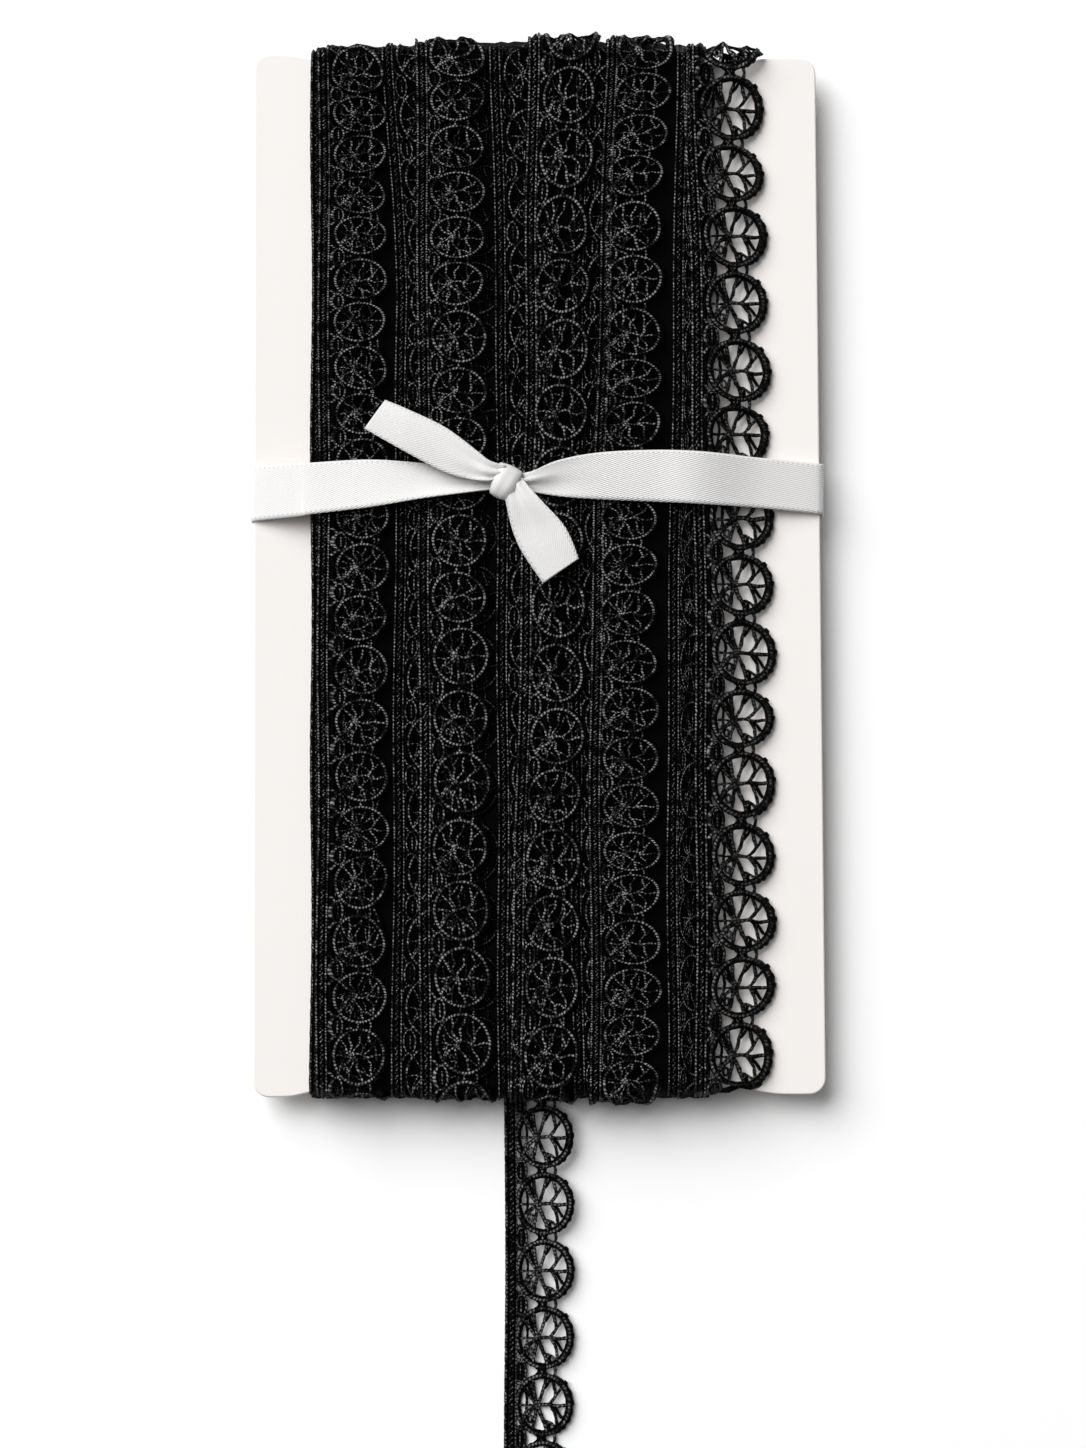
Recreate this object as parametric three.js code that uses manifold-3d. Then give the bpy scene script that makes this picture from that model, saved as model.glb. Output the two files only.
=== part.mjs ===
// A scalloped guipure lace trim, wound in five columns round a flat card and tied with a satin ribbon.
// Millimetres, +Z up. The card lies on its back and +Y runs to its upper end.
// The origin is on the surface that it rests on, under the middle of the card.
import * as THREE from "three";
import * as BufferGeometryUtils from "three/addons/utils/BufferGeometryUtils.js";
import Module from "manifold-3d";

const wasm = await Module();
wasm.setup();

// Driving dimensions
const GAP = 0.3; // clearance between neighbouring pieces
const CARD_WIDTH = 100;
const CARD_LENGTH = 183.8;
const CARD_THICKNESS = 1.5;
const CARD_CORNER = 2.6;
const RECESS_DEPTH = 1.2; // the card's ends are cut back where the lace passes round them
const RECESS_LEFT = -40.5;
const RECESS_RIGHT = 39.8;
const RECESS_SHOULDER = 2.6;
const LACE_LAYER = 1.2; // one layer of the lace
const STACK = 3.7; // three layers of lace, lying loosely on each other
const VALLEY = 0.9; // how far the lace sinks between two columns
const BACK_VALLEY = 0.6;
const LACE_WIDTH = 12.65;
const WHEEL_PITCH = 11.67; // one repeat of the lace
const WHEEL_RX = 5.07; // half width of a wheel, across the lace
const WHEEL_RY = 5.75; // half length of a wheel, along the lace, where it meets its neighbours
const WHEEL_CORD = 1.0; // the double cord of a wheel's rim
const SPOKE = 0.7;
const HUB_SHIFT = 0.9; // the hub lies nearer the straight edge than the wheel's middle
const FOOTING = 2.35; // width of the straight edge's cords
const RIDGE_RISE = 0.45; // how far cords and rims stand above their column
const RIBBON_THICKNESS = 1.0;
const FLATNESS = 0.003; // faces and edges this near to straight are joined

// Heights of the layers
const CARD_Z = STACK + GAP;
const CARD_TOP = CARD_Z + CARD_THICKNESS;
const SLOT_TOP = CARD_TOP + GAP;
const PACK_TOP = SLOT_TOP + STACK;
const LIP_Z = SLOT_TOP + 0.4; // the right-hand scallops lie just over the card
const BACK_LIP_Z = 1.35;
const SLOT_END = CARD_LENGTH / 2 - RECESS_DEPTH + GAP;

// The five columns: their sides, how far they reach past the card's middle at each end, and their tops
const COLUMNS = [
  { left: -39.9, right: -23.4, upper: 93.5, lower: 92.5, top: PACK_TOP - 0.1 },
  { left: -21.6, right: -5.1, upper: 94.4, lower: 92.8, top: PACK_TOP },
  { left: -4.1, right: 8.0, upper: 95.2, lower: 93.1, top: PACK_TOP + 0.1 },
  { left: 8.7, right: 25.3, upper: 94.7, lower: 93.3, top: PACK_TOP },
  { left: 26.0, right: 29.4, upper: 93.4, lower: 92.6, top: PACK_TOP - 0.4 },
];

// The straight edges that show as long ridges, by their middle, width and column
const RIDGES = [
  { x: -38.1, width: 2.8, column: 0 },
  { x: -24.6, width: 2.0, column: 0 },
  { x: -20.2, width: 2.5, column: 1 },
  { x: -6.5, width: 2.1, column: 1 },
  { x: 10.1, width: 2.2, column: 3 },
  { x: 24.0, width: 2.1, column: 3 },
  { x: 27.7, width: 2.3, column: 4 },
];

// The runs of wheels that show on the pack. The pitch changes evenly from first to last,
// because each layer is wound with its own slack and slips over the one below it.
const WHEEL_RUNS = [
  { x: -30.8, firstY: 87.2, firstPitch: 7.1, lastPitch: 10.2, count: 21, column: 0 },
  { x: -13.6, firstY: 89.6, firstPitch: 8.3, lastPitch: 11.3, count: 19, column: 1 },
  { x: 3.1, firstY: 82.8, firstPitch: 10.3, lastPitch: 11.3, count: 16, column: 2 },
  { x: 16.6, firstY: 88.2, firstPitch: 8.8, lastPitch: 8.2, count: 21, column: 3 },
];

// The scallops of the last column, above and below the ribbon
const LIP_WHEEL_X = 36.0;
const LIP_WHEEL_RX = 5.6;
const LIP_RUNS = [
  { firstY: 82.0, pitch: 11.55, count: 6 },
  { firstY: 9.7, pitch: 11.82, count: 9 },
];

// The loose end, which lies on the surface below the card
const TAIL_LEFT = -5.7;
const TAIL_FIRST_WHEEL = -100.0;
const TAIL_WHEELS = 6;
const TAIL_START = -85.0;

// The ribbon's front, from the card's left edge to its right edge: the middle of its width
// and the width there. It is drawn together under the knot.
const RIBBON_FRONT = [
  { x: -49.9, y: 12.8, width: 10.2, z: CARD_TOP + 1.0 },
  { x: -41.0, y: 13.6, width: 10.0, z: PACK_TOP + 1.25 },
  { x: -29.0, y: 14.6, width: 8.8, z: PACK_TOP + 1.3 },
  { x: -17.0, y: 15.1, width: 6.9, z: PACK_TOP + 1.3 },
  { x: -9.0, y: 15.9, width: 4.8, z: PACK_TOP + 1.35 },
  { x: -5.1, y: 15.6, width: 3.6, z: PACK_TOP + 1.4 },
  { x: -1.5, y: 15.3, width: 3.6, z: PACK_TOP + 1.4 },
  { x: 4.5, y: 15.6, width: 6.6, z: PACK_TOP + 1.35 },
  { x: 12.0, y: 16.0, width: 8.3, z: PACK_TOP + 1.3 },
  { x: 22.0, y: 16.0, width: 9.1, z: PACK_TOP + 1.3 },
  { x: 29.5, y: 15.7, width: 9.1, z: PACK_TOP + 1.1 },
  { x: 49.9, y: 14.3, width: 9.2, z: CARD_TOP + 1.0 },
];
const RIBBON_BACK_WIDTH = 10;
const KNOT = { x: -5.2, y: 15.2, z: PACK_TOP + 3.0, rx: 4.4, ry: 3.2, rz: 2.0 };

// The ribbon's two free ends, as the two edges of each section from the knot outwards
const LEFT_END = [
  { upper: [-7.6, 17.5, 12.9], lower: [-7.2, 14.9, 12.3] },
  { upper: [-11.7, 21.5, 13.9], lower: [-12.0, 15.4, 12.0] },
  { upper: [-17.8, 25.2, 14.8], lower: [-17.6, 17.0, 11.3] },
  { upper: [-22.6, 27.5, 15.2], lower: [-23.8, 20.3, 11.1] },
  { upper: [-26.7, 29.2, 15.0], lower: [-30.1, 23.9, 11.0] },
];
const RIGHT_END = [
  { upper: [-2.6, 14.2, 12.9], lower: [-5.2, 13.8, 12.6] },
  { upper: [1.3, 11.0, 13.6], lower: [-5.0, 10.4, 12.0] },
  { upper: [4.2, 7.8, 13.9], lower: [-4.5, 7.4, 11.5] },
  { upper: [6.1, 4.6, 13.7], lower: [-3.0, 3.5, 11.2] },
  { upper: [7.3, 0.9, 13.2], lower: [0.9, -3.1, 11.0] },
];

// Closed geometry and solids

function solidOf(geometry) {
  const bare = geometry.index ? geometry.clone() : geometry;
  bare.deleteAttribute("normal");
  bare.deleteAttribute("uv");
  const merged = BufferGeometryUtils.mergeVertices(bare, 1e-4);
  return new wasm.Manifold(
    new wasm.Mesh({
      numProp: 3,
      vertProperties: new Float32Array(merged.attributes.position.array),
      triVerts: new Uint32Array(merged.index.array),
    }),
  );
}

// The finished surface, with the flat faces that a join left in pieces made whole again
function geometryOf(solid) {
  const mesh = solid.asOriginal().simplify(FLATNESS).getMesh();
  const geometry = new THREE.BufferGeometry();
  geometry.setAttribute("position", new THREE.BufferAttribute(new Float32Array(mesh.vertProperties), 3));
  geometry.setIndex(new THREE.BufferAttribute(new Uint32Array(mesh.triVerts), 1));
  geometry.computeVertexNormals();
  return geometry;
}

function join(solids) {
  return solids.reduce((all, one) => all.add(one));
}

function box(x0, x1, y0, y1, z0, z1) {
  const geometry = new THREE.BoxGeometry(x1 - x0, y1 - y0, z1 - z0);
  geometry.translate((x0 + x1) / 2, (y0 + y1) / 2, (z0 + z1) / 2);
  return solidOf(geometry);
}

// A flat bar of rectangular section from a to b, between two heights
function bar(a, b, width, z0, z1) {
  const length = Math.hypot(b[0] - a[0], b[1] - a[1]);
  const geometry = new THREE.BoxGeometry(length, width, z1 - z0);
  geometry.rotateZ(Math.atan2(b[1] - a[1], b[0] - a[0]));
  geometry.translate((a[0] + b[0]) / 2, (a[1] + b[1]) / 2, (z0 + z1) / 2);
  return solidOf(geometry);
}

// A thin slab over rows of points, with half its thickness on each side of them
function slab(rows, thickness, closed) {
  const count = rows.length;
  const across = rows[0].length;
  const at = (row, column) => rows[closed ? (row + count) % count : Math.min(Math.max(row, 0), count - 1)][
    Math.min(Math.max(column, 0), across - 1)
  ];
  const positions = [];
  for (const side of [0.5, -0.5]) {
    for (let row = 0; row < count; row += 1) {
      for (let column = 0; column < across; column += 1) {
        const along = at(row + 1, column).clone().sub(at(row - 1, column));
        const over = at(row, column + 1).clone().sub(at(row, column - 1));
        const normal = along.cross(over).normalize();
        positions.push(...at(row, column).clone().addScaledVector(normal, side * thickness).toArray());
      }
    }
  }
  const index = (side, row, column) => (side * count + (row % count)) * across + column;
  const triangles = [];
  const quad = (a, b, c, d) => triangles.push(a, b, c, a, c, d);
  const spans = closed ? count : count - 1;
  for (let row = 0; row < spans; row += 1) {
    for (let column = 0; column < across - 1; column += 1) {
      const next = row + 1;
      const beside = column + 1;
      quad(index(0, row, column), index(0, next, column), index(0, next, beside), index(0, row, beside));
      quad(index(1, row, column), index(1, row, beside), index(1, next, beside), index(1, next, column));
    }
    quad(index(0, row, 0), index(1, row, 0), index(1, row + 1, 0), index(0, row + 1, 0));
    const last = across - 1;
    quad(index(0, row, last), index(0, row + 1, last), index(1, row + 1, last), index(1, row, last));
  }
  if (!closed) {
    for (let column = 0; column < across - 1; column += 1) {
      const beside = column + 1;
      const end = count - 1;
      quad(index(0, 0, column), index(0, 0, beside), index(1, 0, beside), index(1, 0, column));
      quad(index(0, end, column), index(1, end, column), index(1, end, beside), index(0, end, beside));
    }
  }
  const geometry = new THREE.BufferGeometry();
  geometry.setAttribute("position", new THREE.Float32BufferAttribute(positions, 3));
  geometry.setIndex(triangles);
  return solidOf(geometry);
}

// The lace

// A rounded oblong in the Y-Z plane. The arcs are joined by straight sides.
function roundedOblong(y0, y1, z0, z1, lowRadius, highRadius) {
  const shape = new THREE.Shape();
  shape.absarc(y1 - lowRadius, z0 + lowRadius, lowRadius, -Math.PI / 2, 0, false);
  shape.absarc(y1 - highRadius, z1 - highRadius, highRadius, 0, Math.PI / 2, false);
  shape.absarc(y0 + highRadius, z1 - highRadius, highRadius, Math.PI / 2, Math.PI, false);
  shape.absarc(y0 + lowRadius, z0 + lowRadius, lowRadius, Math.PI, Math.PI * 1.5, false);
  return shape;
}

// One turn of lace round the card: a loop in the Y-Z plane, from x0 to x1
function turn({ x0, x1, lower, upper, back, front, slot }) {
  const shape = roundedOblong(-lower, upper, back, front, slot.low, slot.high);
  const hole = new THREE.Path();
  hole.moveTo(-SLOT_END, slot.back);
  hole.lineTo(-SLOT_END, slot.front);
  hole.lineTo(SLOT_END, slot.front);
  hole.lineTo(SLOT_END, slot.back);
  hole.lineTo(-SLOT_END, slot.back);
  shape.holes.push(hole);
  const depth = x1 - x0;
  const geometry = new THREE.ExtrudeGeometry(shape, { depth, bevelEnabled: false, curveSegments: 3 });
  // Shape x goes to Y, shape y to Z and the depth to X.
  geometry.applyMatrix4(new THREE.Matrix4().set(0, 0, 1, x0, 1, 0, 0, 0, 0, 1, 0, 0, 0, 0, 0, 1));
  return solidOf(geometry);
}

const PACK_SLOT = { back: STACK, front: SLOT_TOP, low: 2.2, high: 3.4 };
const LIP_SLOT = { back: BACK_LIP_Z + LACE_LAYER, front: LIP_Z, low: 1.0, high: 1.3 };

function columnTurn({ left, right, upper, lower, top }) {
  return turn({ x0: left, x1: right, lower, upper, back: 0, front: top, slot: PACK_SLOT });
}

// The lower layers, which join the columns and show as the valleys between them
function underTurn() {
  const first = COLUMNS[0];
  const last = COLUMNS[COLUMNS.length - 1];
  return turn({
    x0: first.left + 0.5,
    x1: last.right - 0.5,
    lower: 92.3,
    upper: 93.0,
    back: BACK_VALLEY,
    front: PACK_TOP - VALLEY,
    slot: PACK_SLOT,
  });
}

// A straight edge's cords, raised along a column and round both its ends
function ridge({ x, width, column }) {
  const { upper, lower, top } = COLUMNS[column];
  return turn({
    x0: x - width / 2,
    x1: x + width / 2,
    lower: lower + RIDGE_RISE / 2,
    upper: upper + RIDGE_RISE / 2,
    back: BACK_VALLEY / 2,
    front: top + RIDGE_RISE,
    slot: PACK_SLOT,
  });
}

// A wheel on the pack: a raised rim round a lower middle
function raisedWheel(x, y, top, rx, ry) {
  const profile = [
    new THREE.Vector2(0, -0.5),
    new THREE.Vector2(1, -0.5),
    new THREE.Vector2(0.84, RIDGE_RISE),
    new THREE.Vector2(0, 0.05),
  ];
  const geometry = new THREE.LatheGeometry(profile, 8, Math.PI / 8);
  geometry.rotateX(Math.PI / 2);
  geometry.scale(rx, ry, 1);
  geometry.translate(x, y, top);
  return solidOf(geometry);
}

function wheelRun({ x, firstY, firstPitch, lastPitch, count, column }) {
  const solids = [];
  for (let k = 0; k < count; k += 1) {
    const pitch = firstPitch + ((lastPitch - firstPitch) * k) / (count - 1);
    const y = firstY - firstPitch * k - ((lastPitch - firstPitch) * k * k) / (2 * (count - 1));
    solids.push(raisedWheel(x, y, COLUMNS[column].top, WHEEL_RX - 0.3, Math.min(pitch * 0.49, WHEEL_RY)));
  }
  return join(solids);
}

function ellipsePoints(x, y, rx, ry, count) {
  return Array.from({ length: count }, (_, k) => {
    const angle = (2 * Math.PI * (k + 0.5)) / count;
    return new THREE.Vector2(x + rx * Math.cos(angle), y + ry * Math.sin(angle));
  });
}

// An open wheel of one layer: a rim and three bars that cross at the hub
function openWheel(x, y, z, rx, ry) {
  const rim = new THREE.Shape(ellipsePoints(x, y, rx, ry, 10));
  rim.holes.push(new THREE.Path(ellipsePoints(x, y, rx - WHEEL_CORD, ry - WHEEL_CORD, 10).reverse()));
  const geometry = new THREE.ExtrudeGeometry(rim, { depth: LACE_LAYER, bevelEnabled: false });
  geometry.translate(0, 0, z);
  const solids = [solidOf(geometry)];
  const hub = [x - HUB_SHIFT, y];
  for (const degrees of [0, 65, 115]) {
    const angle = THREE.MathUtils.degToRad(degrees);
    const reach = [(rx - WHEEL_CORD / 2) * Math.cos(angle), (ry - WHEEL_CORD / 2) * Math.sin(angle)];
    const ends = [1, -1].map((sign) => [x + sign * reach[0], y + sign * reach[1]]);
    for (const end of ends) {
      solids.push(bar(hub, end, SPOKE, z, z + LACE_LAYER));
    }
  }
  return join(solids);
}

// Open wheels in a run, with the short tie between each two where their rims meet
function openRun(x, firstY, pitch, count, z, rx) {
  const solids = [];
  for (let k = 0; k < count; k += 1) {
    const y = firstY - k * pitch;
    solids.push(openWheel(x, y, z, rx, WHEEL_RY));
    solids.push(box(x - 0.9, x + 0.9, y - pitch / 2 - 0.6, y - pitch / 2 + 0.6, z, z + LACE_LAYER));
  }
  return join(solids);
}

// The edge of the last column: one layer that lies over the card, with its wheels open
function lip() {
  const last = COLUMNS[COLUMNS.length - 1];
  const whole = {
    lower: 92.45,
    upper: 93.1,
    back: BACK_LIP_Z,
    front: LIP_Z + LACE_LAYER,
    slot: LIP_SLOT,
  };
  const innerEdge = LIP_WHEEL_X - LIP_WHEEL_RX + 1.1;
  const footing = turn({ ...whole, x0: last.right - 1.2, x1: innerEdge });
  const outer = turn({ ...whole, x0: innerEdge - 0.4, x1: LIP_WHEEL_X + 3.2 });
  const front = box(innerEdge, 45, -86.2, 87.2, CARD_Z, PACK_TOP);
  const runs = LIP_RUNS.map(({ firstY, pitch, count }) =>
    openRun(LIP_WHEEL_X, firstY, pitch, count, LIP_Z, LIP_WHEEL_RX),
  );
  return join([footing, outer.subtract(front), backScallops(), ...runs]);
}

// The scallops of the same edge behind the card
function backScallops() {
  const solids = [];
  for (let k = 0; k < 15; k += 1) {
    const geometry = new THREE.CylinderGeometry(1, 1, LACE_LAYER - 0.2, 8);
    geometry.rotateX(Math.PI / 2);
    geometry.scale(LIP_WHEEL_RX, WHEEL_RY - 0.1, 1);
    geometry.translate(LIP_WHEEL_X, 82.4 - k * WHEEL_PITCH, BACK_LIP_Z + LACE_LAYER / 2);
    solids.push(solidOf(geometry));
  }
  return join(solids);
}

// The room that the loose end and the ribbon press into the back of the pack
function backRecesses() {
  const tailRight = TAIL_LEFT + LACE_WIDTH + 0.8;
  const tailRoom = box(TAIL_LEFT - 0.5, tailRight, -99, TAIL_START + GAP, -1, LACE_LAYER + GAP);
  const ribbonRoom = box(-60, 60, 6.9, 19.9, -1, RIBBON_THICKNESS + GAP);
  return tailRoom.add(ribbonRoom);
}

function laceWinding() {
  const columns = COLUMNS.map(columnTurn);
  const pack = join([underTurn(), ...columns, ...RIDGES.map(ridge), ...WHEEL_RUNS.map(wheelRun)]);
  return geometryOf(pack.add(lip()).subtract(backRecesses()));
}

// The loose end: the straight edge's cords, the wheels and the leaf between each two
function laceTail() {
  const wheelX = TAIL_LEFT + LACE_WIDTH - WHEEL_RX;
  const end = TAIL_FIRST_WHEEL - (TAIL_WHEELS - 0.5) * WHEEL_PITCH;
  const footing = box(TAIL_LEFT, TAIL_LEFT + FOOTING, end, TAIL_START, 0, LACE_LAYER);
  const neck = box(TAIL_LEFT + 1, wheelX + 3, TAIL_FIRST_WHEEL + 5.4, TAIL_START, 0, LACE_LAYER);
  const solids = [footing, neck];
  solids.push(openRun(wheelX, TAIL_FIRST_WHEEL, WHEEL_PITCH, TAIL_WHEELS, 0, WHEEL_RX));
  for (let k = 0; k < TAIL_WHEELS; k += 1) {
    const middle = TAIL_FIRST_WHEEL - (k + 0.5) * WHEEL_PITCH;
    const low = Math.max(middle - 2.1, end);
    solids.push(box(TAIL_LEFT + 2, wheelX - 2.1, low, middle + 2.1, 0, LACE_LAYER));
  }
  const past = box(TAIL_LEFT - 1, wheelX + 9, end - 20, end, -1, 3);
  return geometryOf(join(solids).subtract(past));
}

// The card

function card() {
  const shape = new THREE.Shape();
  const half = { x: CARD_WIDTH / 2, y: CARD_LENGTH / 2 };
  const recessY = half.y - RECESS_DEPTH;
  const r = CARD_CORNER;
  shape.moveTo(-half.x, -half.y + r);
  shape.absarc(-half.x + r, -half.y + r, r, Math.PI, Math.PI * 1.5, false);
  shape.lineTo(RECESS_LEFT - RECESS_SHOULDER, -half.y);
  shape.lineTo(RECESS_LEFT, -recessY);
  shape.lineTo(RECESS_RIGHT, -recessY);
  shape.lineTo(RECESS_RIGHT + RECESS_SHOULDER, -half.y);
  shape.absarc(half.x - r, -half.y + r, r, -Math.PI / 2, 0, false);
  shape.absarc(half.x - r, half.y - r, r, 0, Math.PI / 2, false);
  shape.lineTo(RECESS_RIGHT + RECESS_SHOULDER, half.y);
  shape.lineTo(RECESS_RIGHT, recessY);
  shape.lineTo(RECESS_LEFT, recessY);
  shape.lineTo(RECESS_LEFT - RECESS_SHOULDER, half.y);
  shape.absarc(-half.x + r, half.y - r, r, Math.PI / 2, Math.PI, false);
  const cut = { depth: CARD_THICKNESS, bevelEnabled: false, curveSegments: 5 };
  const geometry = new THREE.ExtrudeGeometry(shape, cut);
  geometry.translate(0, 0, CARD_Z);
  return geometryOf(solidOf(geometry));
}

// The ribbon

// Three points across the ribbon, with its middle raised a little where it bows
function acrossRibbon(x, y, width, z, bow) {
  return [
    new THREE.Vector3(x, y - width / 2, z),
    new THREE.Vector3(x, y, z + bow),
    new THREE.Vector3(x, y + width / 2, z),
  ];
}

// The loop round the card: across the front, round the right edge, along the back and round the left edge
function ribbonLoop() {
  const first = RIBBON_FRONT[0];
  const last = RIBBON_FRONT[RIBBON_FRONT.length - 1];
  const side = CARD_WIDTH / 2 + GAP + RIBBON_THICKNESS / 2;
  const back = RIBBON_THICKNESS / 2;
  const rows = RIBBON_FRONT.map(({ x, y, width, z }) => {
    const bow = 0.25 * (1 - width / 10.5);
    return acrossRibbon(x, y, width, z, bow);
  });
  const edge = (x, y, z) => rows.push(acrossRibbon(x, y, RIBBON_BACK_WIDTH, z, 0));
  edge(side, last.y, CARD_TOP - 0.2);
  edge(side, last.y, CARD_Z + 0.2);
  edge(CARD_WIDTH / 2 - 0.3, last.y, CARD_Z - 1.0);
  edge(43, last.y - 0.2, back);
  edge(-43, first.y + 0.3, back);
  edge(-CARD_WIDTH / 2 + 0.3, first.y, CARD_Z - 1.0);
  edge(-side, first.y, CARD_Z + 0.2);
  edge(-side, first.y, CARD_TOP - 0.2);
  return slab(rows, RIBBON_THICKNESS, true);
}

function ribbonEnd(sections) {
  const rows = sections.map(({ upper, lower }) => {
    const a = new THREE.Vector3(...lower);
    const b = new THREE.Vector3(...upper);
    const middle = a.clone().add(b).multiplyScalar(0.5);
    middle.z += 0.35;
    return [a, middle, b];
  });
  return slab(rows, RIBBON_THICKNESS, false);
}

function knot() {
  const geometry = new THREE.SphereGeometry(1, 12, 8);
  geometry.rotateX(Math.PI / 2);
  geometry.scale(KNOT.rx, KNOT.ry, KNOT.rz);
  geometry.rotateZ(THREE.MathUtils.degToRad(-20));
  geometry.translate(KNOT.x, KNOT.y, KNOT.z);
  return solidOf(geometry);
}

function ribbonTie() {
  return geometryOf(join([ribbonLoop(), knot(), ribbonEnd(LEFT_END), ribbonEnd(RIGHT_END)]));
}

// Materials and the finished group

function material(color, roughness) {
  return new THREE.MeshStandardMaterial({ color, roughness, metalness: 0 });
}

function piece(name, geometry, finish) {
  const mesh = new THREE.Mesh(geometry, finish);
  mesh.name = name;
  return mesh;
}

const blackThread = material(0x0f0f10, 0.75);
const group = new THREE.Group();
group.add(piece("card", card(), material(0xf6f2ee, 0.85)));
group.add(piece("lace_winding", laceWinding(), blackThread));
group.add(piece("lace_tail", laceTail(), blackThread.clone()));
group.add(piece("ribbon_tie", ribbonTie(), material(0xf2f2f3, 0.4)));

export default group;
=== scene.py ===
"""A scalloped guipure lace trim, wound in five columns round a flat card and tied with a satin ribbon.

The card lies on its back. +X runs across it, +Y to its upper end and +Z up, as in the frame.
Lengths are worked out in millimetres and turned to metres when a mesh is made.
"""

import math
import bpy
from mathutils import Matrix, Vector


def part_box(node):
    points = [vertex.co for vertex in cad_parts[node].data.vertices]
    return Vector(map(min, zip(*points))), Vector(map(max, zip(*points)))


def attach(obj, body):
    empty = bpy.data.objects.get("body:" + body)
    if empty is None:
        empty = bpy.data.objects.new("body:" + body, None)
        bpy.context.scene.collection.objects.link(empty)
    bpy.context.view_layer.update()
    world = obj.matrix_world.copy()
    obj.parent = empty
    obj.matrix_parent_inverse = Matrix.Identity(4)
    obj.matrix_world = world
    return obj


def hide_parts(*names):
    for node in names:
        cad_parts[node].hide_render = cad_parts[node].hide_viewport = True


bl_info = {
    "name": "Wound Lace Trim",
    "version": (1, 0, 0),
    "blender": (4, 5, 0),
    "location": "View3D > Sidebar > Lace Trim",
    "description": "Scalloped lace edging wound on a card and tied with ribbon",
    "category": "Add Mesh",
}

import bpy
import numpy as np

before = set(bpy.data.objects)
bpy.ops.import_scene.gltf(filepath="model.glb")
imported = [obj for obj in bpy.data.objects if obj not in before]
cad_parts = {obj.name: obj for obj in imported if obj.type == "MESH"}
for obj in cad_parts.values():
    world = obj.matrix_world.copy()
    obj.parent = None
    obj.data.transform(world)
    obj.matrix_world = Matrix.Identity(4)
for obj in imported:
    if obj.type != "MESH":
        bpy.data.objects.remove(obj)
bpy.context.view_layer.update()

MM = 0.001

# The flat lace: its width, one repeat of its wheels, where the wheels' middle lies across it, how wide its
# straight edge is, and over what width that edge passes into the wheels
LACE_WIDTH = 12.65
PITCH = 11.67
WHEEL_U = 7.27
FOOTING = 2.2
JOIN = 0.3

# The ribbon's width, and the number of points across it
RIBBON_WIDTH = 10.0
COLUMNS = 17


def node_box(name):
    """A node's lowest and highest corner in millimetres."""
    low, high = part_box(name)
    return np.array(low) / MM, np.array(high) / MM


CARD_LOW, CARD_HIGH = node_box("card")
PACK_HIGH = node_box("lace_winding")[1]
TAIL_LOW = node_box("lace_tail")[0]

# The clearance between neighbours, how far the card's ends are cut back, how far the CAD model's ridges
# stand over its columns, and where the lace may begin in front of, behind and beyond the card
GAP = 0.3
RECESS = 1.2
RIDGE = 0.45
SLOT_FRONT = CARD_HIGH[2] + GAP
SLOT_BACK = CARD_LOW[2] - GAP
SLOT_END = CARD_HIGH[1] - RECESS + GAP


# Settings


class LaceSettings(bpy.types.PropertyGroup):
    thread: bpy.props.FloatProperty(
        name="Rim cord",
        description="Radius of the cords of a wheel's rim",
        default=0.33 * MM,
        unit="LENGTH",
        subtype="DISTANCE",
    )
    spoke: bpy.props.FloatProperty(
        name="Spoke cord",
        description="Radius of the spokes and the finer cords",
        default=0.24 * MM,
        unit="LENGTH",
        subtype="DISTANCE",
    )
    colour: bpy.props.StringProperty(
        name="Thread colour", description="sRGB hex colour of the thread", default="#060606"
    )
    # The crest colour is a painted highlight along the top of each cord, where the light above falls.
    crest: bpy.props.StringProperty(
        name="Crest colour", description="sRGB hex colour of the rubbed crests of the cords", default="#787879"
    )


class RibbonSettings(bpy.types.PropertyGroup):
    thickness: bpy.props.FloatProperty(
        name="Ribbon thickness",
        description="Thickness of the satin ribbon",
        default=0.3 * MM,
        unit="LENGTH",
        subtype="DISTANCE",
    )
    colour: bpy.props.StringProperty(
        name="Satin colour", description="sRGB hex colour of the satin", default="#eeedec"
    )


class CardSettings(bpy.types.PropertyGroup):
    edge: bpy.props.FloatProperty(
        name="Edge rounding",
        description="How far the card's cut edge is worn round",
        default=0.3 * MM,
        unit="LENGTH",
        subtype="DISTANCE",
    )
    colour: bpy.props.StringProperty(
        name="Board colour", description="sRGB hex colour of the board", default="#f1edea"
    )


class StageSettings(bpy.types.PropertyGroup):
    key: bpy.props.FloatProperty(
        name="Key light", description="Power of the soft light at the upper left", default=628.0, unit="POWER"
    )
    over: bpy.props.FloatProperty(
        name="Overhead light", description="Power of the soft light straight above", default=8.0, unit="POWER"
    )
    fill: bpy.props.FloatProperty(
        name="Surround", description="Strength of the white surround", default=0.05, min=0.0
    )


# Surfaces. Each is a dict of points (n, 3), quads (m, 4) and uv (m, 4, 2), all in millimetres.


def joined(surfaces):
    """All the surfaces as one: each one's quads count on from the points before it."""
    starts = np.cumsum([0] + [len(s["points"]) for s in surfaces[:-1]])
    return {
        "points": np.concatenate([s["points"] for s in surfaces]),
        "quads": np.concatenate([s["quads"] + start for s, start in zip(surfaces, starts)]),
        "uv": np.concatenate([s["uv"] for s in surfaces]),
    }


def repeated(surface, offsets):
    """The surface once for each offset (k, 3): point j of copy k is point j plus offset k."""
    count, size = len(offsets), len(surface["points"])
    points = surface["points"][None] + np.asarray(offsets, float)[:, None]
    quads = surface["quads"][None] + (np.arange(count) * size)[:, None, None]
    return {
        "points": points.reshape(-1, 3),
        "quads": quads.reshape(-1, 4),
        "uv": np.tile(surface["uv"], (count, 1, 1)),
    }


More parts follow.
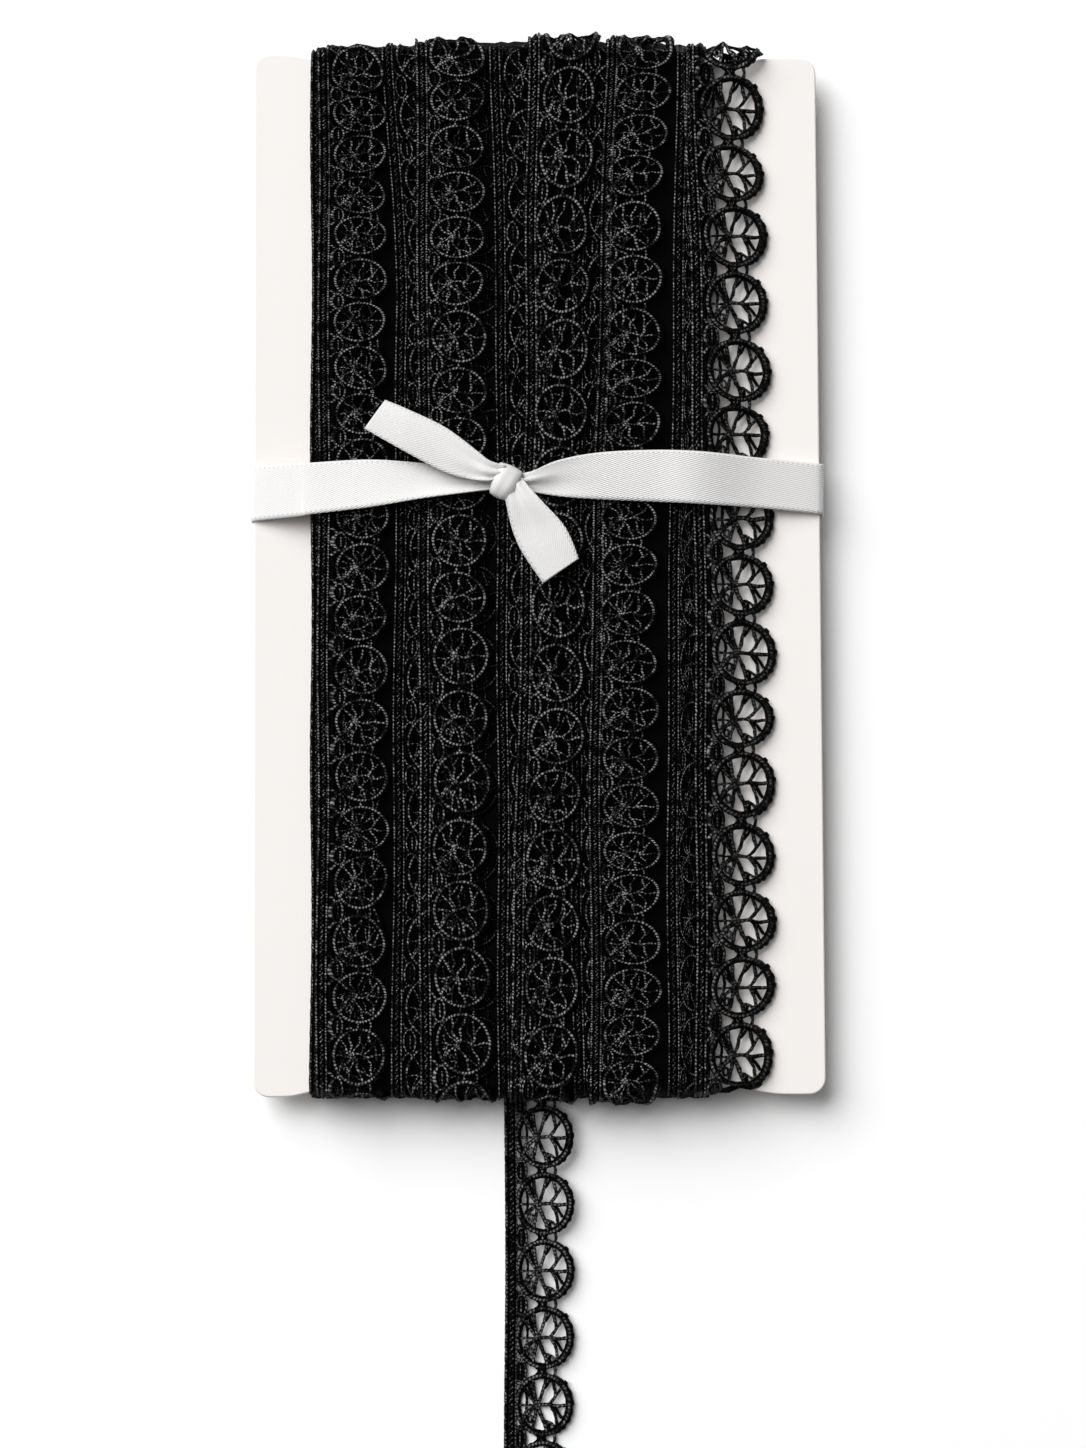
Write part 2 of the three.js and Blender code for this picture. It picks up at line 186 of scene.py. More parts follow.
def mesh_piece(name, surface, material, smooth=True):
    """A mesh object at the origin, its points turned from millimetres to metres."""
    mesh = bpy.data.meshes.new(name)
    points, quads = surface["points"] * MM, surface["quads"]
    mesh.vertices.add(len(points))
    mesh.vertices.foreach_set("co", points.astype(np.float32).ravel())
    mesh.loops.add(quads.size)
    mesh.loops.foreach_set("vertex_index", quads.astype(np.int32).ravel())
    mesh.polygons.add(len(quads))
    mesh.polygons.foreach_set("loop_start", (np.arange(len(quads)) * 4).astype(np.int32))
    mesh.polygons.foreach_set("use_smooth", np.ascontiguousarray(np.broadcast_to(smooth, len(quads))))
    layer = mesh.uv_layers.new(name="UVMap")
    layer.data.foreach_set("uv", surface["uv"].astype(np.float32).ravel())
    mesh.update(calc_edges=True)
    mesh.validate()
    mesh.materials.append(material)
    piece = bpy.data.objects.new(name, mesh)
    bpy.context.scene.collection.objects.link(piece)
    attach(piece, "root")
    return piece


def smooth_path(corners, step, closed=False):
    """Points about step apart on the Catmull-Rom curve through the corners (n, 3)."""
    corners = np.asarray(corners, float)
    if closed:
        padded = np.concatenate([corners[-1:], corners, corners[:2]])
    else:
        before = 2 * corners[0] - corners[1]
        after = 2 * corners[-1] - corners[-2]
        padded = np.concatenate([[before], corners, [after]])
    t = np.linspace(0, 1, 12, endpoint=False)[:, None, None]
    a, b, c, d = padded[:-3], padded[1:-2], padded[2:-1], padded[3:]
    curve = 0.5 * (2 * b + (c - a) * t + (2 * a - 5 * b + 4 * c - d) * t**2 + (3 * b - a - 3 * c + d) * t**3)
    line = curve.transpose(1, 0, 2).reshape(-1, 3)
    line = np.concatenate([line, corners[:1] if closed else corners[-1:]])
    along = np.concatenate([[0], np.cumsum(np.linalg.norm(np.diff(line, axis=0), axis=1))])
    count = max(3, int(round(along[-1] / step))) + 1
    at = np.linspace(0, along[-1], count)
    even = np.stack([np.interp(at, along, line[:, k]) for k in range(3)], axis=1)
    return even[:-1] if closed else even


def corner_uv(u, v, u2, v2):
    """The UV of the four corners of quads that span u to u2 and v to v2."""
    return np.stack([np.stack(corner, 1) for corner in ((u, v), (u2, v), (u2, v2), (u, v2))], axis=1)


def tube(path, radius, sides, closed=False):
    """A round cord along a path that lies in the lace. Ring i has its centre at path i, and its points at
    centre + radius (cos a across + sin a up), with across at right angles to the path and to up. Its UV
    runs in millimetres along it and from 0 to 1 round it."""
    tangent = np.roll(path, -1, 0) - np.roll(path, 1, 0) if closed else np.gradient(path, axis=0)
    tangent /= np.maximum(np.linalg.norm(tangent, axis=1, keepdims=True), 1e-9)
    across = np.cross([0, 0, 1], tangent)
    across /= np.maximum(np.linalg.norm(across, axis=1, keepdims=True), 1e-9)
    up = np.cross(tangent, across)
    angle = 2 * math.pi * np.arange(sides) / sides
    ring = np.cos(angle)[None, :, None] * across[:, None] + np.sin(angle)[None, :, None] * up[:, None]
    points = path[:, None] + np.reshape(radius, (-1, 1, 1)) * ring
    count = len(path)
    i, j = np.meshgrid(np.arange(count if closed else count - 1), np.arange(sides), indexing="ij")
    i, j = i.ravel(), j.ravel()
    i2, j2 = (i + 1) % count, (j + 1) % sides
    quads = np.stack([i * sides + j, i2 * sides + j, i2 * sides + j2, i * sides + j2], axis=1)
    step = np.linalg.norm(np.diff(path, axis=0), axis=1).mean()
    around = 1 / sides
    u, v = i * step, j * around
    uv = corner_uv(u, v, u + step, v + around)
    if not closed:
        first = np.arange(sides)
        last = (count - 1) * sides + first
        if sides == 4:
            caps = np.array([first[::-1], last])
        else:
            halves = first[[3, 2, 1, 0]], first[[0, 5, 4, 3]], last[[0, 1, 2, 3]], last[[3, 4, 5, 0]]
            caps = np.array(halves)
        quads = np.concatenate([quads, caps])
        uv = np.concatenate([uv, np.zeros((len(caps), 4, 2))])
    return {"points": points.reshape(-1, 3), "quads": quads, "uv": uv}


def sheet_surface(grid, thickness, closed=False):
    """A thin closed sheet over a grid (n, m, 3). Each point is moved half the thickness both ways along
    the normal, which is the cross product of the grid's two directions, and the rims are joined."""
    along = np.roll(grid, -1, 0) - np.roll(grid, 1, 0) if closed else np.gradient(grid, axis=0)
    over = np.gradient(grid, axis=1)
    normal = np.cross(along, over)
    normal /= np.maximum(np.linalg.norm(normal, axis=2, keepdims=True), 1e-9)
    n, m = grid.shape[:2]
    upper, lower = grid + normal * thickness / 2, grid - normal * thickness / 2
    loop = np.concatenate([upper, lower[:, ::-1]], axis=1)
    width = 2 * m
    i, j = np.meshgrid(np.arange(n if closed else n - 1), np.arange(width), indexing="ij")
    i, j = i.ravel(), j.ravel()
    i2, j2 = (i + 1) % n, (j + 1) % width
    quads = np.stack([i * width + j, i2 * width + j, i2 * width + j2, i * width + j2], axis=1)
    length = np.concatenate([[0], np.cumsum(np.linalg.norm(np.diff(grid[:, m // 2], axis=0), axis=1))])
    length = np.append(length, length[-1] + np.linalg.norm(grid[0, m // 2] - grid[-1, m // 2]))
    share = np.concatenate([np.linspace(0, 1, m), np.linspace(1, 0, m), [0]])
    u, v = length[i], share[j]
    uv = corner_uv(u, v, length[i + 1], share[j + 1])
    if not closed:
        k = np.arange(m - 1)
        start = np.stack([k, k + 1, width - 2 - k, width - 1 - k], axis=1)
        end = (n - 1) * width + start[:, ::-1]
        quads = np.concatenate([quads, start, end])
        uv = np.concatenate([uv, np.zeros((2 * (m - 1), 4, 2))])
    return {"points": loop.reshape(-1, 3), "quads": quads, "uv": uv}


# Materials


def linear(hex_colour):
    """An sRGB hex colour as linear RGBA: c / 12.92 under 0.04045, else ((c + 0.055) / 1.055) ** 2.4."""
    parts = [int(hex_colour[k : k + 2], 16) / 255 for k in (1, 3, 5)]
    return tuple(c / 12.92 if c <= 0.04045 else ((c + 0.055) / 1.055) ** 2.4 for c in parts) + (1.0,)


def add_node(tree, kind, settings=None, links=None):
    """A node with its attributes and input values, and links from other nodes' outputs to its inputs."""
    node = tree.nodes.new(kind)
    for key, value in (settings or {}).items():
        if isinstance(key, str) and hasattr(node, key):
            setattr(node, key, value)
        else:
            node.inputs[key].default_value = value
    for key, output in (links or {}).items():
        tree.links.new(output, node.inputs[key])
    return node


def new_material(name):
    """An empty material and its node tree."""
    material = bpy.data.materials.new(name)
    material.use_nodes = True
    material.node_tree.nodes.clear()
    return material, material.node_tree


def finish_material(tree, values, links=None):
    """The surface's shader, with its values and what is linked into it, as the material's output."""
    shader = add_node(tree, "ShaderNodeBsdfPrincipled", values, links)
    add_node(tree, "ShaderNodeOutputMaterial", links={"Surface": shader.outputs[0]})


def maths(tree, operation, a, b=0.0, c=0.0):
    """A Math node's output. Each of its inputs is a number or another node's output."""
    settings = {"operation": operation}
    links = {}
    for key, value in enumerate((a, b, c)):
        (settings if isinstance(value, (int, float)) else links)[key] = value
    return add_node(tree, "ShaderNodeMath", settings, links).outputs[0]


def span(tree, value, low, high, first, last, kind="SMOOTHSTEP"):
    """The value's range from low to high becomes first to last, by a smooth step or in a straight line."""
    settings = {"interpolation_type": kind, "From Min": low, "From Max": high, "To Min": first, "To Max": last}
    return add_node(tree, "ShaderNodeMapRange", settings, {0: value}).outputs[0]


def noise(tree, place, size, detail):
    """A noise on the object's own coordinates, with features about size millimetres wide."""
    settings = {"Scale": 1000 / size, "Detail": detail}
    return add_node(tree, "ShaderNodeTexNoise", settings, {0: place.outputs["Object"]}).outputs[0]


def bumped(tree, height, strength, distance):
    """The normal of a surface that is raised by the height times a distance in metres."""
    settings = {"Strength": strength, "Distance": distance}
    return add_node(tree, "ShaderNodeBump", settings, {"Height": height}).outputs[0]


def mixed(tree, first, second, share, clamp=True):
    """A colour between two sRGB hex colours: the first at share 0 and the second at share 1."""
    settings = {"data_type": "RGBA", "clamp_factor": clamp, 6: linear(first), 7: linear(second)}
    return add_node(tree, "ShaderNodeMix", settings, {0: share}).outputs[2]


# A Wave Texture of scale 1 repeats each 2 pi / 20 of its coordinate
WAVE = 2 * math.pi / 20


def stitched_thread(name, colour, crest, low_share):
    """Black viscose thread, satin-stitched over itself into cords. Each cord is near black at its sides.
    Along its crest, where the wraps of the stitching stand proud, a line of grey dots is painted as the
    highlight that the light above gives them; lace that lies low in the pack, in shade, has them at only
    low_share of their strength."""
    material, tree = new_material(name)
    place = add_node(tree, "ShaderNodeTexCoord")
    # The UV runs in millimetres along a cord, and from 0 to 1 round it with its crest at 0.25.
    uv = add_node(tree, "ShaderNodeSeparateXYZ", links={0: place.outputs["UV"]})
    along, around = uv.outputs[0], uv.outputs[1]
    # One wrap of the stitching is about 0.35 mm. It is drawn at 0.66 mm so that it shows.
    wrap = 0.66
    turns = maths(tree, "MULTIPLY_ADD", along, 2 * math.pi / wrap, maths(tree, "MULTIPLY", around, 2 * math.pi))
    wraps = maths(tree, "SINE", maths(tree, "MULTIPLY_ADD", noise(tree, place, 1.3, 1.0), 9.0, turns))
    # Height on the cord: the cosine of the angle from its crest. The painted highlight goes on the band next to
    # the crest, where the light above would fall.
    lift = maths(tree, "COSINE", maths(tree, "MULTIPLY_ADD", around, 2 * math.pi, -0.5 * math.pi))
    top = span(tree, lift, 0.76, 0.99, 0.0, 1.0)
    dots = span(tree, wraps, -0.4, 0.75, 0.1, 1.0)
    # The painted highlight is stronger on some stretches of a cord than on others, over a millimetre or two.
    highlight_patches = span(tree, noise(tree, place, 1.5, 2.0), 0.36, 0.66, 0.05, 1.7)
    # Painted shade by height: the turns that stand highest in the pack get the painted highlight in full, and
    # lace that lies low, in shade, only low_share of it.
    height = add_node(tree, "ShaderNodeSeparateXYZ", links={0: place.outputs["Object"]}).outputs[2]
    highlight_by_height = span(tree, height, (SLOT_FRONT + 2.2) * MM, (SLOT_FRONT + 3.2) * MM, low_share, 1.0)
    # The painted highlight: the crest band, broken into dots by the wraps, patchy along the cord and weaker low
    # in the pack.
    shown = maths(tree, "MULTIPLY", maths(tree, "MULTIPLY", top, dots), maths(tree, "MULTIPLY", highlight_patches, highlight_by_height))
    finish_material(
        tree,
        {"Roughness": 0.5, "Specular IOR Level": 0.12},
        {"Base Color": mixed(tree, colour, crest, shown, False), "Normal": bumped(tree, wraps, 1.0, 0.00006)},
    )
    return material


def dense_lace(name, colour):
    """The lower layers of the wound lace, packed close: dull black thread with little light between."""
    material, tree = new_material(name)
    place = add_node(tree, "ShaderNodeTexCoord")
    # The threads leave holes about 1.6 mm apart.
    settings = {"feature": "DISTANCE_TO_EDGE", "Scale": 1000 / 1.6}
    cells = add_node(tree, "ShaderNodeTexVoronoi", settings, {0: place.outputs["Object"]})
    finish_material(
        tree,
        {"Base Color": linear(colour), "Roughness": 0.85, "Specular IOR Level": 0.1},
        {"Normal": bumped(tree, cells.outputs[0], 0.6, 0.0003)},
    )
    return material


def satin_ribbon(name, colour):
    """White polyester satin with a fine slanted twill and two stitched selvedges. The filaments give a
    soft broad sheen and the selvedge shows as a row of small dents."""
    material, tree = new_material(name)
    place = add_node(tree, "ShaderNodeTexCoord")
    # The UV runs in millimetres along the ribbon and from 0 to 1 across it.
    uv = add_node(tree, "ShaderNodeSeparateXYZ", links={0: place.outputs["UV"]})
    along, across = uv.outputs[0], maths(tree, "MULTIPLY", uv.outputs[1], RIBBON_WIDTH)
    flat = add_node(tree, "ShaderNodeCombineXYZ", links={0: along, 1: across})
    slanted = add_node(tree, "ShaderNodeMapping", {"Rotation": (0, 0, math.radians(-70))}, {0: flat.outputs[0]})
    # The twill's lines are about 0.25 mm apart. They are drawn at 0.38 mm so that they show.
    twill = add_node(
        tree,
        "ShaderNodeTexWave",
        {"wave_type": "BANDS", "bands_direction": "X", "Scale": WAVE / 0.38, "Distortion": 0.5, "Detail": 1.0},
        {0: slanted.outputs[0]},
    )
    # Selvedge: one row of stitches 0.5 mm in from each edge, 0.9 mm apart.
    from_middle = maths(tree, "ABSOLUTE", maths(tree, "SUBTRACT", across, RIBBON_WIDTH / 2))
    off_row = maths(tree, "ABSOLUTE", maths(tree, "SUBTRACT", from_middle, RIBBON_WIDTH / 2 - 0.5))
    row = span(tree, off_row, 0.05, 0.24, 1.0, 0.0, "LINEAR")
    beat = maths(tree, "SINE", maths(tree, "MULTIPLY", along, 2 * math.pi / 0.9))
    stitch = maths(tree, "MULTIPLY", row, span(tree, beat, 0.1, 0.9, 0.0, 1.0, "LINEAR"))
    relief = maths(tree, "MULTIPLY_ADD", stitch, -1.1, twill.outputs[1])
    # The stitches are coloured a little greyer, #cfcdcc, where the bump sinks them into dents.
    finish_material(
        tree,
        {"Roughness": 0.36, "IOR": 1.7, "Specular IOR Level": 1.0, "Sheen Weight": 0.1, "Sheen Roughness": 0.3},
        {"Base Color": mixed(tree, colour, "#cfcdcc", stitch), "Normal": bumped(tree, relief, 0.5, 0.00009)},
    )
    return material


def coated_board(name, colour, low, high):
    """Matt off-white greyboard with a smooth coating. Its cut edge is a little darker and warmer."""
    material, tree = new_material(name)
    place = add_node(tree, "ShaderNodeTexCoord")
    # Paper fibre shows as a faint mottle of about 1.2 mm.
    fibre = noise(tree, place, 1.2, 4.0)
    # The coating's tone passes into the cut edge's over the outermost quarter of a millimetre.
    height = add_node(tree, "ShaderNodeSeparateXYZ", links={0: place.outputs["Object"]}).outputs[2]
    level = maths(tree, "ABSOLUTE", maths(tree, "SUBTRACT", height, (low + high) / 2 * MM))
    face = (high - low) / 2 * MM
    cut = span(tree, level, face - 0.00028, face - 0.00002, 1.0, 0.0, "LINEAR")
    finish_material(
        tree,
        {"Roughness": 0.6, "Specular IOR Level": 0.35},
        {"Base Color": mixed(tree, colour, "#cdbfb2", cut), "Normal": bumped(tree, fibre, 0.08, 0.0001)},
    )
    return material


# The lace's motif, in the lace's own plane: u runs across from the straight edge, v along it from the hub


WHEEL = {"u": WHEEL_U, "v": 0.1, "ru": 4.5, "rv": 5.12}

# The spokes and branches, by their points (u, v) from the hub outwards, and how thick each is
SPOKES = {
    "right": (1.35, [(6.3, 0.0), (8.3, 0.1), (9.7, -0.15), (11.3, 0.0)]),
    "left": (0.9, [(6.3, 0.0), (4.6, 0.0), (2.9, 0.0)]),
    "upper_right": (1.2, [(6.5, 0.2), (7.1, 2.0), (7.8, 4.6)]),
    "upper_right_second": (1.0, [(7.5, 2.8), (8.1, 3.7), (8.5, 4.4)]),
    "upper_left": (1.35, [(6.2, 0.2), (5.75, 2.2), (5.5, 4.7)]),
    "upper_left_middle": (1.25, [(6.1, 0.3), (5.35, 2.1), (4.9, 3.2), (4.8, 4.2)]),
    "upper_left_outer": (1.1, [(6.0, 0.2), (4.9, 1.8), (3.9, 3.4)]),
    "chord_upper": (0.95, [(4.5, 0.0), (4.5, 1.4), (4.1, 3.1)]),
    "chord_lower": (0.95, [(4.5, 0.0), (4.4, -1.0), (3.8, -2.2)]),
    "lower_left": (1.6, [(6.2, -0.1), (5.0, -1.0), (4.2, -2.1), (3.7, -2.9)]),
    "bottom_left": (1.2, [(6.2, -0.3), (5.9, -2.2), (5.4, -4.6)]),
    "lower_right": (1.45, [(6.4, -0.3), (7.1, -2.1), (7.7, -3.5), (7.9, -4.6)]),
    "cross_bar": (1.1, [(7.4, -2.8), (8.4, -3.0), (9.3, -3.7)]),
    "cross_bar_tie": (1.0, [(8.3, -3.0), (8.4, -4.3)]),
    "branch_down": (1.15, [(8.5, 0.0), (9.3, -1.4), (9.6, -2.8), (9.6, -3.7)]),
    "branch_down_outer": (1.1, [(9.2, -0.1), (9.9, -1.3), (10.5, -2.3)]),
    "branch_up": (1.25, [(8.3, 0.1), (9.4, 1.6), (9.2, 3.0), (8.9, 4.3)]),
    "branch_up_outer": (1.0, [(9.4, 1.6), (9.9, 2.2), (10.4, 3.1)]),
}

# The spokes that lie under the others at their ends, in shade, so that they get no painted crest highlight
COVERED = ("upper_right_second", "upper_left_middle", "chord_upper", "cross_bar_tie", "branch_down_outer")

# Picots on the scallop's edge, by their angle from straight out, how far they stand out and their width
PICOTS = [
    (43, 0.5, 0.42), (22, 0.26, 0.6), (3, 0.32, 0.5), (-16, 0.22, 0.65), (-31, 0.3, 0.45), (-47, 0.34, 0.4),
    (-59, 0.2, 0.5),
]


def arc(u, v, ru, rv, start, end, step, rise=0.0):
    """Points on an ellipse (u + ru cos a, v + rv sin a), from angle start to end in degrees."""
    count = max(4, int(math.radians(abs(end - start)) * (ru + rv) / 2 / step) + 1)
    full = abs(end - start) == 360
    a = np.radians(np.linspace(start, end, count, endpoint=not full))
    return np.stack([u + ru * np.cos(a), v + rv * np.sin(a), np.full(count, rise)], axis=1)


def one_repeat(step, sides, settings, fine=True):
    """One repeat of the lace, flat, from v = -PITCH / 2 to PITCH / 2. The rim is two ellipses of cord side
    by side with a third round the scallop; the spokes are curves from the hub; the leaf between two wheels
    is two nested ellipses; and the straight edge is two straight cords with a waved chain between them."""
    thick, thin = settings.thread / MM, settings.spoke / MM
    w = WHEEL
    cords = []

    # The last argument says whether a cord gets the painted crest highlight; cords in shade under others go
    # without it.
    def cord(path, radius, closed=False, height=1.0, highlighted=True):
        # Stitched cord is lumpy: its radius swells and shrinks by a seventh along it.
        lumps = 1 + 0.14 * np.sin(2.6 * np.arange(len(path)) + 7 * path[0, 0] + 3 * path[0, 1])
        around = sides if highlighted or step < 0.5 else 4
        made = tube(path, radius * lumps, around, closed)
        level = path[:, 2].mean()
        made["points"][:, 2] = level + (made["points"][:, 2] - level) * height
        if not highlighted:
            # A cord that others cover lies in shade and gets no painted crest highlight: all of it counts as
            # underside.
            made["uv"][:, :, 1] = 0.75
        cords.append(made)

    cord(arc(w["u"], w["v"], w["ru"], w["rv"], 0, 360, step, 0.16), thick * 1.22, True)
    cord(arc(w["u"] + 0.05, w["v"], w["ru"] - 0.42, w["rv"] - 0.42, 0, 360, step, -0.12), thick * 0.8, True,
         highlighted=False)
    cord(arc(w["u"] + 0.2, w["v"], w["ru"] + 0.2, w["rv"] + 0.12, -68, 66, step, -0.08), thick, highlighted=False)
    for name, (weight, points) in SPOKES.items():
        if step < 2.5 or name not in COVERED:
            cord(smooth_path([(u, v, 0) for u, v in points], step), thin * weight, highlighted=name not in COVERED)
    if fine and step < 0.8:
        for angle, out, wide in PICOTS:
            a = math.radians(angle)
            cu = w["u"] + 0.2 + (w["ru"] + 0.2) * math.cos(a)
            cv = w["v"] + (w["rv"] + 0.12) * math.sin(a)
            loop = [
                (cu - wide * math.sin(a), cv + wide * math.cos(a), 0),
                (cu + out * math.cos(a), cv + out * math.sin(a), 0.05),
                (cu + wide * math.sin(a), cv - wide * math.cos(a), 0),
            ]
            cord(smooth_path(loop, 0.4), 0.28, highlighted=False)
    half = PITCH / 2
    # Where two wheels meet: three short ties, and a bar on the scallop's side.
    for du in (-0.75, 0.0, 0.75):
        cord(smooth_path([(7.0 + du * 1.25, -half + 0.8, 0), (7.05 + du * 0.6, -half + 0.1, 0.1),
                          (7.0 + du * 1.25, -half - 0.65, 0)], step), thin * 1.2, highlighted=du == 0)
    cord(smooth_path([(9.0, -half + 1.35, 0), (9.35, -half, 0), (9.0, -half - 1.15, 0)], step), thin * 1.1)
    # The leaf: an outer and an inner loop, and the stem along its middle.
    cord(arc(3.3, -half, 1.0, 2.1, 0, 360, step, 0.05), thin * 1.2, True)
    cord(arc(3.4, -half, 0.45, 1.45, 0, 360, step, 0.0), thin * 1.05, True, highlighted=False)
    # The edge of the ground that the wheels are worked on to.
    v = np.linspace(-half, half, max(8, int(PITCH / step)) + 1)
    ripple = 0.1 * np.cos(2 * math.pi * v * 3 / PITCH)
    cord(np.stack([2.38 + ripple, v, np.full_like(v, -0.05)], 1), thin * 1.1, highlighted=False)
    if fine:
        for way in (1, -1):
            tie = [(2.2, -half + way * 3.1, 0), (2.9, -half + way * 1.9, 0.1), (3.9, -half + way * 2.5, 0)]
            cord(smooth_path(tie, step), thin * 1.1)
        cord(smooth_path([(3.4, -half + 1.2, 0.1), (3.4, -half - 1.2, 0.1)], step), thin * 0.9)
        cord(arc(5.1, -2.4, 0.4, 0.66, 0, 360, 0.4), thin * 0.9, True)
    # The straight edge. Its cords run right through, so each repeat ends where the next begins.
    v = np.linspace(-half, half, max(6, int(PITCH / step)) + 1)
    bumps = 0.06 * np.sin(2 * math.pi * v * 10 / PITCH)
    cord(np.stack([0.27 + bumps, v, np.full_like(v, 0.05)], 1), thin * 1.2)
    cord(np.stack([np.full_like(v, 1.92), v, np.full_like(v, 0.08)], 1), thin * 1.1)
    # The dense ground of the straight edge, under its chain.
    cord(np.stack([np.full_like(v, 1.12), v, np.full_like(v, -0.15)], 1), 0.8, height=0.28, highlighted=False)
    v = np.linspace(-half, half, max(24, int(PITCH / min(0.55 * step, 0.37))) + 1) if fine else v
    for side in (1, -1):
        wave = side * 0.3 * np.sin(2 * math.pi * v * 12 / PITCH)
        over = 0.08 + 0.08 * np.cos(2 * math.pi * v * 12 / PITCH) * side
        cord(np.stack([1.12 + wave, v, over], 1), thin * 0.75, highlighted=side == 1)
    return joined(cords)


# The turns of lace round the card

# Each turn on the front: the straight edge's X and the wheels' middle X at heights Y, how wide the wheels
# are pulled, the Y of some of its hubs by their number from the top, the end bends' reach in Y, and the
# lace's height over the card's face at its straight edge and at its scallops. "spring" is how far the
# scallops stand up at the upper end, and "crook" how far the spokes are bent.
TURNS = [
    {"name": "1", "y": [92, 47, -6, -50, -92], "edge": [-39.0, -38.7, -38.6, -38.5, -38.6],
     "wheels": [-31.8, -31.1, -30.7, -30.7, -30.9],
     "pull": 0.98, "upper": 94.0, "lower": 93.0, "rise": [3.2, 3.2],
     "hubs": {0: 87.7, 4: 59.0, 8: 27.4, 14: -27.5, 17: -55.5, 20: -85.5}},
    {"name": "2", "y": [92, 47, -6, -50, -92], "edge": [-21.7, -21.2, -20.9, -20.6, -20.5],
     "wheels": [-14.4, -13.9, -13.5, -13.3, -12.7],
     "pull": 1.02, "upper": 95.1, "lower": 93.4, "rise": [3.3, 3.3],
     "hubs": {0: 91.0, 5: 50.4, 7: 31.1, 10: 5.1, 13: -26.6, 18: -83.3}},
    {"name": "3", "y": [90, 61, 27, -30, -85], "edge": [-1.7, -2.1, -2.2, -3.5, -4.8],
     "wheels": [5.9, 4.6, 4.1, 3.3, 2.3],
     "pull": 0.98, "upper": 95.8, "lower": 93.6, "rise": [3.4, 3.4],
     "hubs": {0: 83.6, 1: 73.1, 2: 60.6, 5: 27.4, 10: -30.2, 12: -51.1, 15: -85.4}},
    {"name": "4", "y": [90, 60, 33, -12, -34, -90], "edge": [12.2, 11.2, 10.5, 9.3, 9.1, 9.2],
     "wheels": [19.2, 17.0, 16.9, 15.7, 16.6, 16.5],
     "pull": 1.04, "upper": 95.6, "lower": 93.8, "rise": [3.3, 3.3],
     "hubs": {0: 92.1, 3: 69.9, 6: 41.5, 12: -8.2, 16: -42.4, 17: -49.7, 22: -90.2}},
    {"name": "5", "y": [91, 57, 35, -23, -67, -92], "edge": [25.8, 26.9, 27.2, 27.7, 27.6, 27.5],
     "wheels": [34.4, 34.8, 35.4, 36.1, 35.8, 35.4],
     "pull": 1.13, "upper": 94.4, "lower": 92.8, "rise": [3.0, 0.55], "spring": 1.5,
     "crook": 0.1,
     "hubs": {0: 82.4, 5: 23.5, 6: 8.7, 14: -85.8}},
]

# Turns that lie lower, which show between the columns and through the wheels above them
UNDER_TURNS = [
    {"name": "a", "y": [92, 57, 0, -50, -92], "edge": [-40.2, -40.0, -39.8, -39.5, -39.5],
     "wheels": [-33.2, -32.8, -32.4, -32.2, -32.2],
     "pull": 1.0, "upper": 93.4, "lower": 92.6, "rise": [2.6, 2.4],
     "hubs": {0: 84.0, 8: -6.0, 15: -86.0}},
    {"name": "b", "y": [91, 66, 48, -6, -92], "edge": [-27.6, -25.9, -25.0, -25.2, -25.4],
     "wheels": [-20.3, -18.6, -17.7, -17.9, -18.1],
     "pull": 1.0, "upper": 94.6, "lower": 93.0, "rise": [3.0, 2.45],
     "hubs": {0: 80.0, 7: 3.0, 14: -77.0}},
    {"name": "c", "y": [92, 84, 48, -50, -92], "edge": [-8.5, -8.4, -7.4, -7.0, -6.9],
     "wheels": [-1.2, -1.1, -0.1, 0.2, 0.3],
     "pull": 1.0, "upper": 94.2, "lower": 93.2, "rise": [3.1, 2.5],
     "hubs": {0: 88.0, 7: 8.0, 15: -82.0}},
    {"name": "d", "y": [92, 57, 0, -60, -92], "edge": [6.8, 6.4, 5.6, 5.9, 6.2],
     "wheels": [14.2, 13.7, 12.9, 13.2, 13.5],
     "pull": 1.0, "upper": 94.2, "lower": 93.2, "rise": [2.7, 2.45],
     "hubs": {0: 85.0, 7: 7.0, 15: -83.0}},
    {"name": "e", "y": [91, 57, -23, -67, -92], "edge": [24.6, 24.1, 22.7, 22.6, 22.6],
     "wheels": [29.0, 28.6, 27.3, 27.2, 27.2],
     "pull": 0.5, "upper": 94.0, "lower": 93.0, "rise": [3.0, 2.0],
     "hubs": {0: 86.0, 7: 5.0, 15: -84.0}},
    {"name": "f", "y": [92, 57, 0, -60, -92], "edge": [-18.4, -18.0, -18.4, -18.2, -17.8],
     "wheels": [-11.2, -10.8, -11.2, -11.0, -10.6],
     "pull": 0.97, "upper": 93.4, "lower": 92.6, "rise": [1.6, 1.5],
     "hubs": {0: 82.5, 7: 6.0, 15: -84.0}},
]

LOOP_STEPS = 1200
CROOK = 0.34  # how far the spokes are bent where a turn doesn't say


